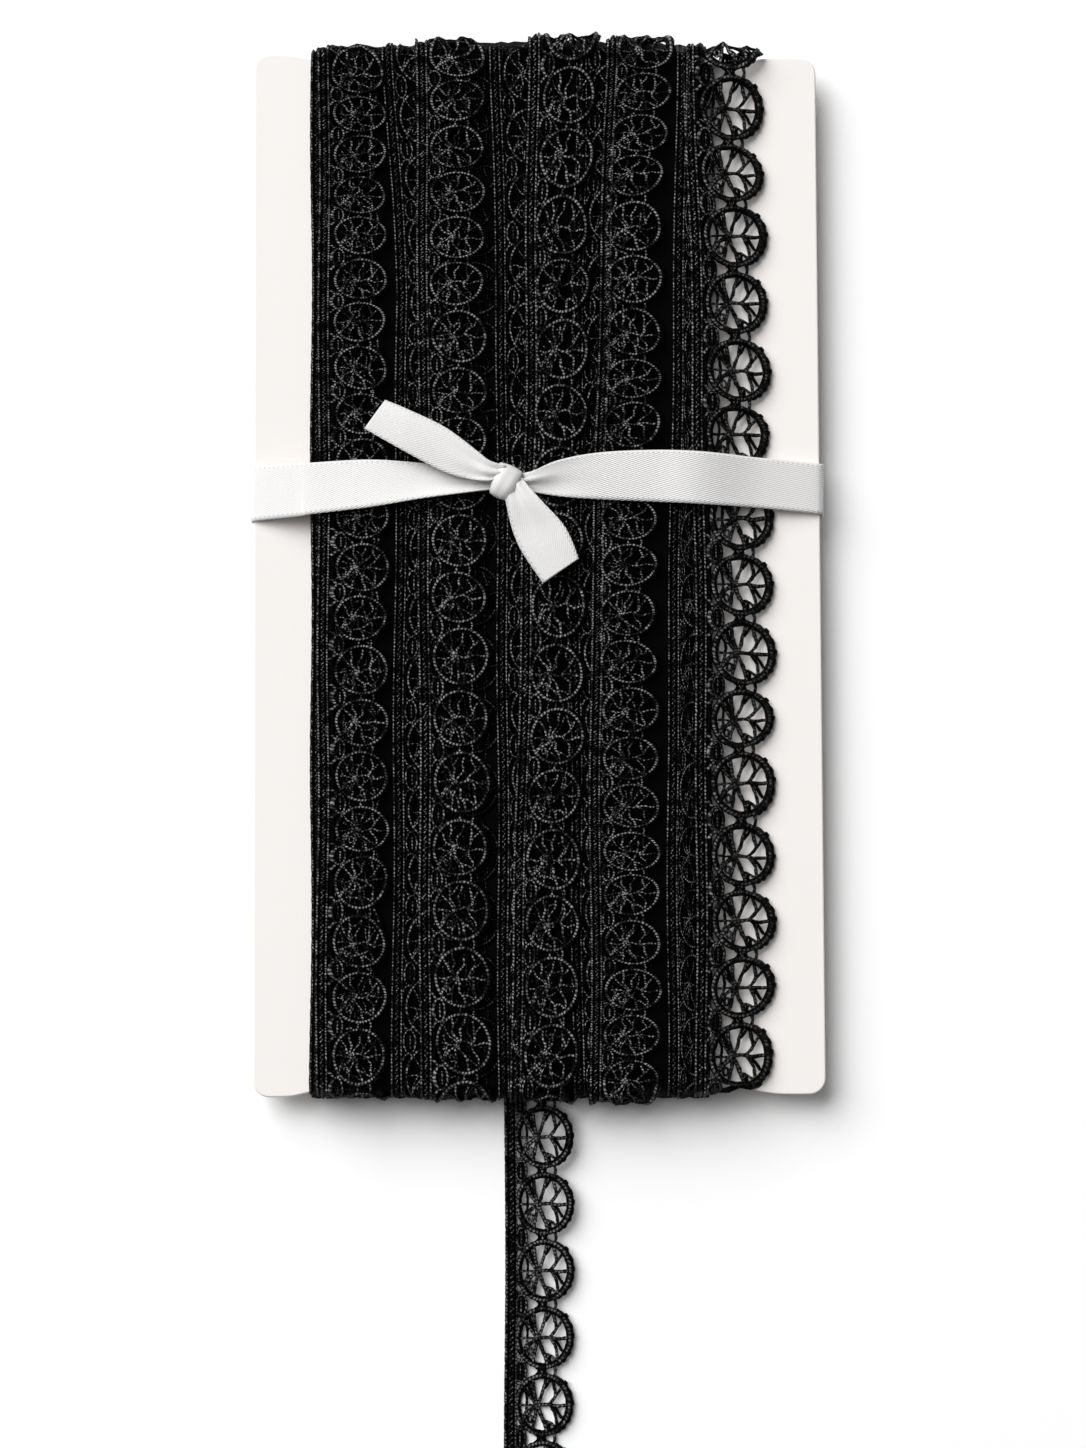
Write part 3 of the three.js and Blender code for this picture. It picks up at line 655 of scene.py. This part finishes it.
def loop_path(turn, level):
    """The line of one turn at a level over the card, seen from the side: an oblong with elliptical corners.
    It starts at the middle of the upper bend and runs down the front. Returns points (y, z), outward
    normals and the length along."""
    share = turn.get("share", level / (PACK_HIGH[2] - RIDGE - SLOT_FRONT))
    upper = SLOT_END + (turn["upper"] - SLOT_END) * share
    lower = SLOT_END + (turn["lower"] - SLOT_END) * share
    front, back = SLOT_FRONT + level, SLOT_BACK - 0.86 * level
    # The corners' half axes: along Y, and in height at the front and at the back.
    reach, high, low = 2.6, 2.6, 2.2
    quarter = np.linspace(0, math.pi / 2, 12)
    corner = [
        np.stack([upper - reach + reach * np.cos(quarter), front - high + high * np.sin(quarter)], 1),
        np.stack([-lower + reach - reach * np.sin(quarter), front - high + high * np.cos(quarter)], 1),
        np.stack([-lower + reach - reach * np.cos(quarter), back + low - low * np.sin(quarter)], 1),
        np.stack([upper - reach + reach * np.sin(quarter), back + low - low * np.cos(quarter)], 1),
    ]
    start = np.array([[upper, (front - high + back + low) / 2]])
    line = np.concatenate([start, *corner, start])
    along = np.concatenate([[0], np.cumsum(np.linalg.norm(np.diff(line, axis=0), axis=1))])
    at = np.linspace(0, along[-1], LOOP_STEPS + 1)
    even = np.stack([np.interp(at, along, line[:, k]) for k in (0, 1)], axis=1)
    tangent = np.roll(even[:-1], -1, 0) - np.roll(even[:-1], 1, 0)
    tangent = np.concatenate([tangent, tangent[:1]])
    tangent /= np.linalg.norm(tangent, axis=1, keepdims=True)
    # Down the front the tangent is -Y and the outward side +Z.
    normal = np.stack([tangent[:, 1], -tangent[:, 0]], axis=1)
    return at, even, normal


def hub_places(turn, at, even):
    """Where each repeat's hub lies along the loop. On the front its Y is interpolated between the turn's
    known hubs; round the bends and behind it goes on at a full pitch."""
    front = slice(0, LOOP_STEPS // 2)
    numbers = sorted(turn["hubs"])
    k = np.arange(numbers[0], numbers[-1] + 1)
    y = np.interp(k, numbers, [turn["hubs"][n] for n in numbers])
    uneven = 0.3 * np.sin(2.4 * k + ord(turn["name"])) * np.minimum(1, np.minimum(k, k[::-1]))
    place = np.interp(-y - uneven, -even[front, 0], at[front])
    before = int(((at[-1] - place[-1]) * 0.28 + place[0]) // PITCH)
    first_place = place[0] - PITCH * np.arange(before, 0, -1)
    room = first_place[0] + at[-1] - place[-1]
    after = int(room // PITCH) - 1
    last_place = place[-1] + (room / (after + 1)) * np.arange(1, after + 1)
    return np.concatenate([first_place, place, last_place])


def crook(u, v, seed):
    """How the spokes of each wheel are bent out of line, as shares along u and v: a sine of a few
    millimetres' wavelength, with a phase of its own in each repeat, that is whole up to 2.6 mm from the
    wheel's middle and gone at 4.3 mm."""
    repeat = np.round(v / PITCH)
    out = np.hypot(u - WHEEL["u"], v - repeat * PITCH + WHEEL["v"])
    inside = np.clip((4.3 - out) / 1.7, 0, 1)
    phase = 2.3 * repeat + seed
    return inside * np.sin(1.9 * (v - repeat * PITCH) + phase), inside * np.sin(1.7 * u + 1.7 * phase)


def lay(surface, turn, place, level, at, even, normal):
    """Lays flat lace round the card. v is the repeat's number times PITCH plus its own v, which becomes a
    place along the loop by interpolation between the hubs; u becomes X between the straight edge and the
    scallop; and the height h is added along the loop's outward normal."""
    u, v, h = surface["points"].T
    count = len(place)
    seed = sum(ord(c) for c in turn["name"])
    # No wheel is quite like the next: each leans along the lace by up to half a millimetre at its rim.
    v = v + (u - FOOTING).clip(0) / 10 * (0.45 * np.sin(v / 6.7 + seed) + 0.35 * np.sin(v / 3.9 + 3 * seed))
    bend_u, bend_v = crook(u, v, seed)
    most = turn.get("crook", CROOK)
    u, v = u + most * bend_u, v + most * bend_v
    number = v / PITCH
    known = np.arange(-1, count + 1)
    places = np.concatenate([[2 * place[0] - place[1]], place, [2 * place[-1] - place[-2]]])
    s = np.mod(np.interp(number, known, places), at[-1])
    y, z = np.interp(s, at, even[:, 0]), np.interp(s, at, even[:, 1])
    ny, nz = np.interp(s, at, normal[:, 0]), np.interp(s, at, normal[:, 1])
    order = np.argsort(turn["y"])
    heights = np.array(turn["y"])[order]
    edge = np.interp(y, heights, np.array(turn["edge"])[order])
    wheels = np.interp(y, heights, np.array(turn["wheels"])[order])
    inner = wheels + (FOOTING + JOIN - WHEEL_U) * turn["pull"]
    foot_end = edge + FOOTING
    across = np.where(
        u < FOOTING,
        edge + u,
        np.where(
            u < FOOTING + JOIN,
            foot_end + (inner - foot_end) * (u - FOOTING) / JOIN,
            wheels + (u - WHEEL_U) * turn["pull"],
        ),
    )
    free = np.clip((u - FOOTING) / 3, 0, 1)
    across = across + 0.16 * np.sin(s / 9.0 + seed) + free * 0.2 * np.sin(s / 4.1 + 2 * seed)
    first, last = turn["rise"]
    rise = np.interp(u, [0, FOOTING, FOOTING + 2, LACE_WIDTH], [first, first, 0.6 * first + 0.4 * last, last])
    # The ribbon presses the lace down a little on the front and flat behind.
    under = np.exp(-(((y - 15.5) / 6.5) ** 4))
    press = np.where(z > SLOT_FRONT, 0.2, 0.62) * under
    loose = 0.1 * np.sin(s / 5.3 + seed) * (1 - under)
    # At the upper end the scallops of the last turn, which nothing holds down, spring off the card.
    spring = turn.get("spring", 0.0) * np.clip((u - FOOTING) / 4, 0, 1) * np.clip((y - 84) / 7, 0, 1)
    # It doesn't bend evenly round the ends: it stands off, or lies in, by up to half a millimetre.
    bent = np.clip((np.abs(y) - 89) / 4, 0, 1) * np.clip((z - SLOT_BACK) / 2, 0, 1)
    bent = bent * (0.3 * np.sin(1.3 * across + seed) + 0.15 * np.sin(3.1 * across + 2 * seed))
    off = rise - level + h + loose - press + spring + bent
    points = np.stack([across, y + ny * off, z + nz * off], axis=1)
    return {"points": points, "quads": surface["quads"], "uv": surface["uv"]}


def wound_turn(turn, settings, fine_step, coarse_step, fine_sides=6):
    """One turn of lace: fine on the front and round the bends, and plainer behind."""
    level = turn["rise"][0]
    at, even, normal = loop_path(turn, level)
    place = hub_places(turn, at, even)
    numbers = np.arange(len(place))
    facing = np.interp(np.mod(place, at[-1]), at, even[:, 1]) > SLOT_BACK
    parts = []
    for shown, step, sides, fine in ((facing, fine_step, fine_sides, True), (~facing, coarse_step, 4, False)):
        if shown.any():
            motif = one_repeat(step, sides, settings, fine)
            # The loop runs down the front, so the motif's v is turned over to point up it.
            motif["points"][:, 1] *= -1
            offsets = np.stack([np.zeros(shown.sum()), numbers[shown] * PITCH, np.zeros(shown.sum())], 1)
            parts.append(repeated(motif, offsets))
    return lay(joined(parts), turn, place, level, at, even, normal), at[-1]


def wind(turns, prefix, material, settings, *detail):
    """Makes a piece of each turn. Its flat size is the lace's width by the length of its loop."""
    for turn in turns:
        surface, length = wound_turn(turn, settings, *detail)
        piece = mesh_piece(prefix + turn["name"], surface, material)
        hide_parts("lace_winding")


class TRIM_OT_wound_lace(bpy.types.Operator):
    """The five columns of lace that show, each a turn round the card"""

    bl_idname = "trim.wound_lace"
    bl_label = "Wind Lace"

    def execute(self, context):
        settings = context.scene.lace_settings
        material = stitched_thread("satin_stitched_black_thread", settings.colour, settings.crest, 0.26)
        wind(TURNS, "lace_column_", material, settings, 0.7, 2.0)
        return {"FINISHED"}


class TRIM_OT_under_lace(bpy.types.Operator):
    """The turns that lie lower, which show between the columns and through the wheels"""

    bl_idname = "trim.under_lace"
    bl_label = "Wind Lower Layers"

    def execute(self, context):
        settings = context.scene.lace_settings
        material = bpy.data.materials["satin_stitched_black_thread"]
        wind(UNDER_TURNS, "lace_layer_", material, settings, 1.1, 2.8, 4)
        return {"FINISHED"}


class TRIM_OT_lace_core(bpy.types.Operator):
    """The innermost layers of lace against the card, packed close"""

    bl_idname = "trim.lace_core"
    bl_label = "Wind Inner Layers"

    def execute(self, context):
        # A closed band: the loop at a low level, carried across the pack with a slow ripple over X.
        turn = {"upper": 94.3, "lower": 93.0, "share": 0.75}
        at, even, normal = loop_path(turn, 0.85)
        rows = slice(0, LOOP_STEPS, 12)
        x = np.linspace(-39.4, 30.2, 60)
        ripple = 0.16 * np.sin(2 * math.pi * x / 2.9)[None] + 0.1 * np.sin(at[rows] / 3.4)[:, None]
        y = even[rows, 0][:, None] + normal[rows, 0][:, None] * ripple
        z = even[rows, 1][:, None] + normal[rows, 1][:, None] * ripple
        # The pack bulges at its upper end, most where the third and fourth columns pass over it.
        y = y + 1.25 * np.exp(-(((x - 3) / 25) ** 2))[None] * np.clip((y - 86) / 6, 0, 1)
        grid = np.stack([np.broadcast_to(x, y.shape), y, z], axis=2)
        surface = sheet_surface(grid[:, ::-1], 0.9, closed=True)
        material = dense_lace("packed_black_thread", "#060606")
        piece = mesh_piece("lace_inner_layers", surface, material)
        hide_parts("lace_winding")
        return {"FINISHED"}


class TRIM_OT_loose_end(bpy.types.Operator):
    """The loose end of the lace, flat on the surface below the card"""

    bl_idname = "trim.loose_end"
    bl_label = "Lay Loose End"

    def execute(self, context):
        settings = context.scene.lace_settings
        # The loose end has nothing over it and lies in open light, so though it lies low its painted crest
        # highlight keeps two thirds of its strength.
        material = stitched_thread("satin_stitched_black_thread_loose", settings.colour, settings.crest, 0.66)
        motif = one_repeat(0.45, 6, settings)
        first_hub, count = -100.0, 6
        numbers = np.arange(-1, count)
        flat = repeated(motif, np.stack([0 * numbers, -numbers * PITCH, 0 * numbers], 1))
        u, v, h = flat["points"].T
        # The cut end: nothing reaches past it.
        end = TAIL_LOW[1] + GAP
        y = np.maximum(first_hub + v, end)
        # Lying free, it is relaxed: its wheels lie closer to its straight edge than on the card.
        u = np.interp(u, [0.0, 1.95, 2.77, 11.97, LACE_WIDTH], [0.0, 2.15, 2.2, 11.65, 12.3])
        x = TAIL_LOW[0] + u + 0.12 * np.sin(y / 11.0)
        # It leaves the pack's back a little over the surface and comes down to it over some 50 mm.
        lift = 2.2 * np.exp(-(((y + 88) / 40) ** 2))
        z = 0.42 + h + 0.12 * (1 + np.sin(y / 7.0 + 0.3 * u)) + lift
        flat["points"] = np.stack([x, y, z], axis=1)
        piece = mesh_piece("lace_loose_end", flat, material)
        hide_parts("lace_tail")
        return {"FINISHED"}


# The card


def card_outline(inset):
    """The card's outline (n, 2): an oblong with rounded corners, its two ends cut back between the
    shoulders of the recess, and every point moved in by inset. The lower half runs left to right and the
    upper half right to left, with the same X."""
    left, right = CARD_LOW[0] + inset, CARD_HIGH[0] - inset
    r = 2.9 - inset
    quarter = np.linspace(0, math.pi / 2, 9)
    shoulders = [-44.4, -42.8, -41.6, -40.4, -38.6, 36.0, 38.0, 39.6, 41.2, 43.0]
    x = np.concatenate([left + r - r * np.cos(quarter), shoulders, right - r + r * np.sin(quarter)])
    rise = np.concatenate([
        r - r * np.sin(quarter), RECESS * np.array([0.0, 0.14, 0.36, 0.6, 1.0, 1.0, 0.55, 0.3, 0.1, 0.0]),
        r - r * np.cos(quarter),
    ])
    # The board is cut a little out of square: its sides lean by a fifth of a degree and its ends flare
    # to the left.
    low_y = CARD_LOW[1] + inset + rise - 0.69 + 0.26 * x / right
    high_y = CARD_HIGH[1] - inset - rise + 0.33 - 0.33 * x / right
    lean = -0.1 + 0.13 * (1 + x / right)
    lower = np.stack([x + lean + 0.4, low_y], axis=1)
    upper = np.stack([x + lean - 0.4, high_y], axis=1)
    return np.concatenate([lower, upper[::-1]])


class TRIM_OT_card(bpy.types.Operator):
    """The board that the lace is wound on, with its cut edge worn a little round"""

    bl_idname = "trim.card"
    bl_label = "Cut Card"

    def execute(self, context):
        settings = context.scene.card_settings
        edge = settings.edge / MM
        low, high = CARD_LOW[2], CARD_HIGH[2]
        # The edge's profile is a quarter round at each face: inset = edge (1 - cos a) and, from the face,
        # height = edge (1 - sin a).
        a = np.linspace(0, math.pi / 2, 5)
        inset = np.concatenate([edge * (1 - np.sin(a)), edge * (1 - np.sin(a))[::-1]])
        height = np.concatenate([low + edge * (1 - np.cos(a)), high - edge * (1 - np.cos(a))[::-1]])
        rings = [np.insert(card_outline(i), 2, z, axis=1) for i, z in zip(inset, height)]
        grid = np.stack(rings)
        n, m = grid.shape[:2]
        i, j = np.meshgrid(np.arange(n - 1), np.arange(m), indexing="ij")
        i, j = i.ravel(), j.ravel()
        j2 = (j + 1) % m
        sides = np.stack([i * m + j, i * m + j2, (i + 1) * m + j2, (i + 1) * m + j], axis=1)
        # Each face is strips from the lower half of the outline to the upper half.
        k = np.arange(m // 2 - 1)
        under = np.stack([k, m - 1 - k, m - 2 - k, k + 1], axis=1)
        over = (n - 1) * m + under[:, ::-1]
        quads = np.concatenate([sides, under, over])
        surface = {"points": grid.reshape(-1, 3), "quads": quads, "uv": np.zeros((len(quads), 4, 2))}
        material = coated_board("coated_greyboard", settings.colour, low, high)
        smooth = np.arange(len(quads)) < len(sides)
        piece = mesh_piece("card_board", surface, material, smooth)
        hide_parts("card")
        return {"FINISHED"}


# The ribbon

RIBBON_Z = PACK_HIGH[2] + 0.12

# The ribbon's front, from the left edge of the card to the knot and from the knot to the right edge:
# X, the lower and upper edge's Y and the height of each, and of the middle
LEFT_BAND = [
    {"x": -39.6, "y": (9.2, 18.35), "z": (-0.1, -0.35, -0.5)},
    {"x": -29.5, "y": (10.3, 18.8), "z": (0.7, 0.3, 0.0)},
    {"x": -20.2, "y": (11.8, 18.2), "z": (1.2, 0.4, 0.1)},
    {"x": -14.0, "y": (12.6, 17.4), "z": (1.5, 0.6, 0.2)},
    {"x": -9.5, "y": (13.2, 16.9), "z": (1.4, 1.0, 0.6)},
    {"x": -6.2, "y": (13.7, 16.4), "z": (1.2, 1.2, 0.9)},
]
RIGHT_BAND = [
    {"x": -5.2, "y": (13.5, 16.0), "z": (0.7, 1.2, 1.2)},
    {"x": -1.4, "y": (13.1, 16.4), "z": (0.5, 1.2, 1.6)},
    {"x": 3.8, "y": (12.3, 18.5), "z": (0.2, 0.5, 1.5)},
    {"x": 10.8, "y": (11.8, 19.9), "z": (0.0, 0.6, 1.1)},
    {"x": 20.5, "y": (11.4, 20.4), "z": (-0.1, 0.5, 0.9)},
    {"x": 29.0, "y": (11.0, 20.2), "z": (-0.1, 0.3, 0.5)},
]


def ribbon_rows(stations):
    """Rows across the ribbon from its stations. Each row runs from the lower to the upper edge, with its
    height a parabola through the heights of the two edges and the middle."""
    b = np.linspace(0, 1, COLUMNS)
    rows = []
    for s in stations:
        z0, z1, z2 = s["z"]
        y = s["y"][0] + (s["y"][1] - s["y"][0]) * b
        z = z0 * (1 - b) * (1 - 2 * b) + 4 * z1 * b * (1 - b) + z2 * b * (2 * b - 1)
        rows.append(np.stack([np.full(COLUMNS, float(s["x"])), y, RIBBON_Z + z], axis=1))
    return rows


def finer_rows(rows, step):
    """The same sheet with a row about every step: each column is a Catmull-Rom curve through its rows."""
    rows = np.stack(rows)
    middle = rows[:, rows.shape[1] // 2]
    length = np.linalg.norm(np.diff(middle, axis=0), axis=1)
    along = np.concatenate([[0], np.cumsum(length)])
    at = np.linspace(0, along[-1], max(4, int(along[-1] / step)))
    k = np.clip(np.searchsorted(along, at, side="right") - 1, 0, len(length) - 1)
    t = ((at - along[k]) / length[k])[:, None, None]
    a, b = rows[np.maximum(k - 1, 0)], rows[k]
    c, d = rows[k + 1], rows[np.minimum(k + 2, len(rows) - 1)]
    return 0.5 * (2 * b + (c - a) * t + (2 * a - 5 * b + 4 * c - d) * t**2 + (3 * b - a - 3 * c + d) * t**3)


def creases(grid, toward, reach, depth, waves, seed):
    """Pleats that fan out of the knot: height is depth cos(2 pi waves b + seed) exp(-(d / reach)^2), where
    b runs across the ribbon and d is the distance from the knot."""
    b = np.linspace(0, 1, grid.shape[1])[None]
    d = np.linalg.norm(grid[:, :, :2] - np.array(toward)[None, None], axis=2)
    grid[:, :, 2] += depth * np.cos(2 * math.pi * waves * b + seed) * np.exp(-((d / reach) ** 2))
    return grid


KNOT = (-5.6, 14.6)


class TRIM_OT_ribbon(bpy.types.Operator):
    """The ribbon round the card, its knot and its two free ends"""

    bl_idname = "trim.ribbon"
    bl_label = "Tie Ribbon"

    def execute(self, context):
        settings = context.scene.ribbon_settings
        material = satin_ribbon("white_polyester_satin", settings.colour)
        thickness = settings.thickness / MM
        side = CARD_HIGH[0] + GAP
        top, low = CARD_HIGH[2], CARD_LOW[2]
        back = 0.18

        def station(x, lower, upper, z):
            return {"x": x, "y": (lower, upper), "z": (z - RIBBON_Z,) * 3}

        # From the knot leftwards, round the left edge, along the back and round the right edge.
        left = ribbon_rows(LEFT_BAND[::-1])
        around = [
            station(-41.8, 8.95, 18.35, RIBBON_Z - 1.05),
            station(-45.5, 8.75, 18.3, 7.9),
            station(-49.6, 8.55, 18.25, top + 0.7),
            station(-side - 0.12, 8.5, 18.2, top + 0.1),
            station(-side - 0.3, 8.45, 18.2, (top + low) / 2),
            station(-side - 0.12, 8.4, 18.2, low - 0.1),
            station(-49.5, 8.3, 18.2, low - 0.7),
            station(-43.5, 8.2, 18.1, 0.6),
            station(-40.5, 8.1, 18.1, back + 0.04),
            station(-38.5, 8.1, 18.1, back),
            station(-20, 8.3, 18.3, back),
            station(0, 8.5, 18.5, back),
            station(20, 8.7, 18.7, back),
            station(39.5, 9.0, 19.0, back),
            station(41.5, 9.0, 19.0, back + 0.04),
            station(44.5, 9.1, 19.1, 0.6),
            station(49.5, 9.4, 19.0, low - 0.7),
            station(side + 0.12, 9.5, 18.8, low - 0.1),
            station(side + 0.3, 9.6, 18.8, (top + low) / 2),
            station(side + 0.12, 9.7, 18.7, top + 0.1),
            station(49.6, 9.8, 18.7, top + 0.75),
            station(39.0, 10.6, 19.5, 7.9),
        ]
        right = ribbon_rows(RIGHT_BAND[::-1])
        grid = finer_rows(left + ribbon_rows(around) + right, 0.5)
        grid = creases(grid, KNOT, 9.0, 0.42, 1.5, 0.6)
        grid = creases(grid, KNOT, 5.0, 0.3, 3.0, 2.0)
        # Nothing sinks below the surface that the card lies on.
        grid[:, :, 2] = np.maximum(grid[:, :, 2], thickness / 2 + 0.02)
        band = mesh_piece("ribbon_band", sheet_surface(grid, thickness), material)
        self.dress(band, self.middle_length(grid))
        self.free_ends(material, thickness)
        self.knot(material, thickness)
        return {"FINISHED"}

    def middle_length(self, grid):
        """The length of the ribbon's middle line."""
        return np.linalg.norm(np.diff(grid[:, COLUMNS // 2], axis=0), axis=1).sum()

    def dress(self, piece, length, share=1.0):
        """Hides the CAD model's ribbon. The ribbon is cut as a rectangle, so a share under 1 isn't its true
        flat area:
        it stands in for folds that these shapes leave out. The piece, its length and the share are not used."""
        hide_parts("ribbon_tie")

    def free_ends(self, material, thickness):
        """Each end's rows run between its two edges, which are given from the knot outwards as X, Y, Z."""
        upper_end = [
            ((-5.4, 17.3, 13.0), (-7.4, 14.8, 12.9)),
            ((-8.2, 18.1, 13.3), (-9.2, 14.6, 13.1)),
            ((-10.5, 19.9, 13.2), (-12.4, 15.1, 12.7)),
            ((-15.9, 24.0, 12.9), (-16.6, 16.4, 12.7)),
            ((-22.4, 27.2, 12.7), (-23.8, 20.2, 13.0)),
            ((-26.6, 29.0, 12.3), (-30.2, 23.9, 12.7)),
        ]
        lower_end = [
            ((-3.2, 16.0, 12.2), (-6.0, 14.2, 12.0)),
            ((-1.7, 14.0, 13.0), (-5.7, 12.8, 12.3)),
            ((0.8, 11.1, 13.6), (-5.3, 10.6, 12.2)),
            ((4.4, 7.2, 13.5), (-4.3, 6.4, 11.5)),
            ((6.1, 4.2, 13.3), (-2.6, 2.4, 11.2)),
            ((7.3, 1.0, 12.9), (1.1, -3.1, 11.0)),
        ]
        for name, edges, seed in (("upper", upper_end, 0.4), ("lower", lower_end, 1.9)):
            b = np.linspace(0, 1, COLUMNS)[:, None]
            rows = []
            for far, near in edges:
                far, near = np.array(far), np.array(near)
                row = near + (far - near) * b
                row[:, 2] += 1.0 * b[:, 0] * (1 - b[:, 0])
                rows.append(row)
            if name == "lower":
                rows = [row[::-1] for row in rows]
            grid = finer_rows(rows, 0.4)
            grid = creases(grid, KNOT, 7.0, 0.3, 2.0, seed)
            if name == "lower":
                grid = grid[:, ::-1]
            piece = mesh_piece("ribbon_end_" + name, sheet_surface(grid, thickness), material)
            self.dress(piece, self.middle_length(grid), 0.8)

    def knot(self, material, thickness):
        """The wrap that closes the knot: a short length of ribbon, gathered to two fifths of its width, that
        comes up at the upper right, lies over the crossing and tucks under at the lower left. A row at
        angle a lies at (reach cos a, height sin a) along the wrap, with two soft pleats across it."""
        turns = np.linspace(math.radians(-30), math.radians(210), 44)[:, None]
        b = np.linspace(-1, 1, COLUMNS)[None]
        lie = math.radians(65.6)
        along, across = np.array([math.cos(lie), math.sin(lie)]), np.array([math.sin(lie), -math.cos(lie)])
        out = 3.0 * np.cos(turns) * (1 - 0.1 * b**2)
        side = 2.0 * b * (1 + 0.12 * np.cos(turns) - 0.06 * np.cos(2 * turns))
        up = 1.85 * np.sin(turns) * (1 - 0.42 * np.abs(b) ** 3) + 0.035 * np.cos(7 * b + 1.5 * turns)
        x = KNOT[0] + along[0] * out + across[0] * side
        y = KNOT[1] + along[1] * out + across[1] * side
        z = RIBBON_Z + 1.7 + up
        grid = np.stack([x, y, z], axis=2)
        piece = mesh_piece("ribbon_knot", sheet_surface(grid, thickness), material)
        self.dress(piece, 12, 0.39)


# Stage and camera


class TRIM_OT_stage(bpy.types.Operator):
    """A white surface, a soft light at the upper left and a camera above"""

    bl_idname = "trim.stage"
    bl_label = "Set Stage"

    def execute(self, context):
        settings = context.scene.stage_settings
        scene = context.scene
        scene.view_settings.view_transform = "Standard"
        material, tree = new_material("white_paper_sweep")
        finish_material(tree, {"Base Color": linear("#fcfcfc"), "Roughness": 0.9, "Specular IOR Level": 0.1})
        # The surface reaches 3 m to each side, well out of the picture.
        far = 3.0
        mesh = bpy.data.meshes.new("floor")
        mesh.from_pydata([(-far, -far, 0), (far, -far, 0), (far, far, 0), (-far, far, 0)], [], [(0, 1, 2, 3)])
        mesh.materials.append(material)
        floor = bpy.data.objects.new("floor", mesh)
        scene.collection.objects.link(floor)

        world = bpy.data.worlds.new("white_surround")
        world.use_nodes = True
        world.node_tree.nodes["Background"].inputs[0].default_value = (1, 1, 1, 1)
        world.node_tree.nodes["Background"].inputs[1].default_value = settings.fill
        scene.world = world

        world.cycles_visibility.glossy = False
        key = self.lamp(scene, "key", (-3.15, 3.4, 4.2), 5.5, settings.key)
        # The wide key light gives the soft shadow alone; the smaller one above draws the gloss.
        key.visible_glossy = False
        self.lamp(scene, "over", (-0.2, 0.1, 2.2), 1.2, settings.over)
        self.camera(scene)
        return {"FINISHED"}

    def lamp(self, scene, name, place, size, power):
        """A square soft light aimed at the middle of the card."""
        light = bpy.data.lights.new(name, "AREA")
        light.shape = "SQUARE"
        light.size = size
        light.energy = power
        lamp = bpy.data.objects.new(name, light)
        lamp.location = place
        direction = np.array([0, 0, 0.005]) - np.array(place)
        lamp.rotation_euler = (
            math.acos(-direction[2] / np.linalg.norm(direction)), 0,
            math.atan2(direction[1], direction[0]) - math.pi / 2,
        )
        scene.collection.objects.link(lamp)
        return lamp

    def camera(self, scene):
        """An 80 mm lens on a 36 mm frame, tipped 3.9 degrees towards the lower end of the card. The
        distance makes one of the picture's 1448 rows 0.17636 mm on the card."""
        lens, film, rows, per_row, tip = 80.0, 36.0, 1448, 0.17636, math.radians(3.9)
        distance = rows * per_row * lens / film * MM
        aim = np.array([1.06, -27.4, CARD_HIGH[2] - 0.5]) * MM
        data = bpy.data.cameras.new("camera")
        data.lens = lens
        data.sensor_fit = "VERTICAL"
        data.sensor_height = film
        data.clip_start, data.clip_end = 0.01, 20
        camera = bpy.data.objects.new("camera", data)
        camera.location = aim + distance * np.array([0, -math.sin(tip), math.cos(tip)])
        camera.rotation_euler = (tip, 0, 0)
        scene.collection.objects.link(camera)
        scene.camera = camera


class TRIM_PT_panel(bpy.types.Panel):
    """The sizes and colours of the trim, and its pieces"""

    bl_idname = "TRIM_PT_panel"
    bl_label = "Lace Trim"
    bl_space_type = "VIEW_3D"
    bl_region_type = "UI"
    bl_category = "Lace Trim"

    def draw(self, context):
        layout = self.layout
        for group in SETTINGS:
            settings = getattr(context.scene, group)
            for key in settings.__annotations__:
                layout.prop(settings, key)
        for operator in PIECES:
            layout.operator(operator.bl_idname)


SETTINGS = {
    "lace_settings": LaceSettings,
    "ribbon_settings": RibbonSettings,
    "card_settings": CardSettings,
    "stage_settings": StageSettings,
}
PIECES = [
    TRIM_OT_stage,
    TRIM_OT_card,
    TRIM_OT_wound_lace,
    TRIM_OT_under_lace,
    TRIM_OT_lace_core,
    TRIM_OT_loose_end,
    TRIM_OT_ribbon,
]


def register():
    for cls in [*SETTINGS.values(), *PIECES, TRIM_PT_panel]:
        bpy.utils.register_class(cls)
    for key, cls in SETTINGS.items():
        setattr(bpy.types.Scene, key, bpy.props.PointerProperty(type=cls))


def unregister():
    for key in SETTINGS:
        delattr(bpy.types.Scene, key)
    for cls in reversed([*SETTINGS.values(), *PIECES, TRIM_PT_panel]):
        bpy.utils.unregister_class(cls)


def main():
    """Makes every piece in order."""
    register()
    for operator in PIECES:
        group, name = operator.bl_idname.split(".")
        getattr(getattr(bpy.ops, group), name)()


if __name__ == "__main__":
    main()
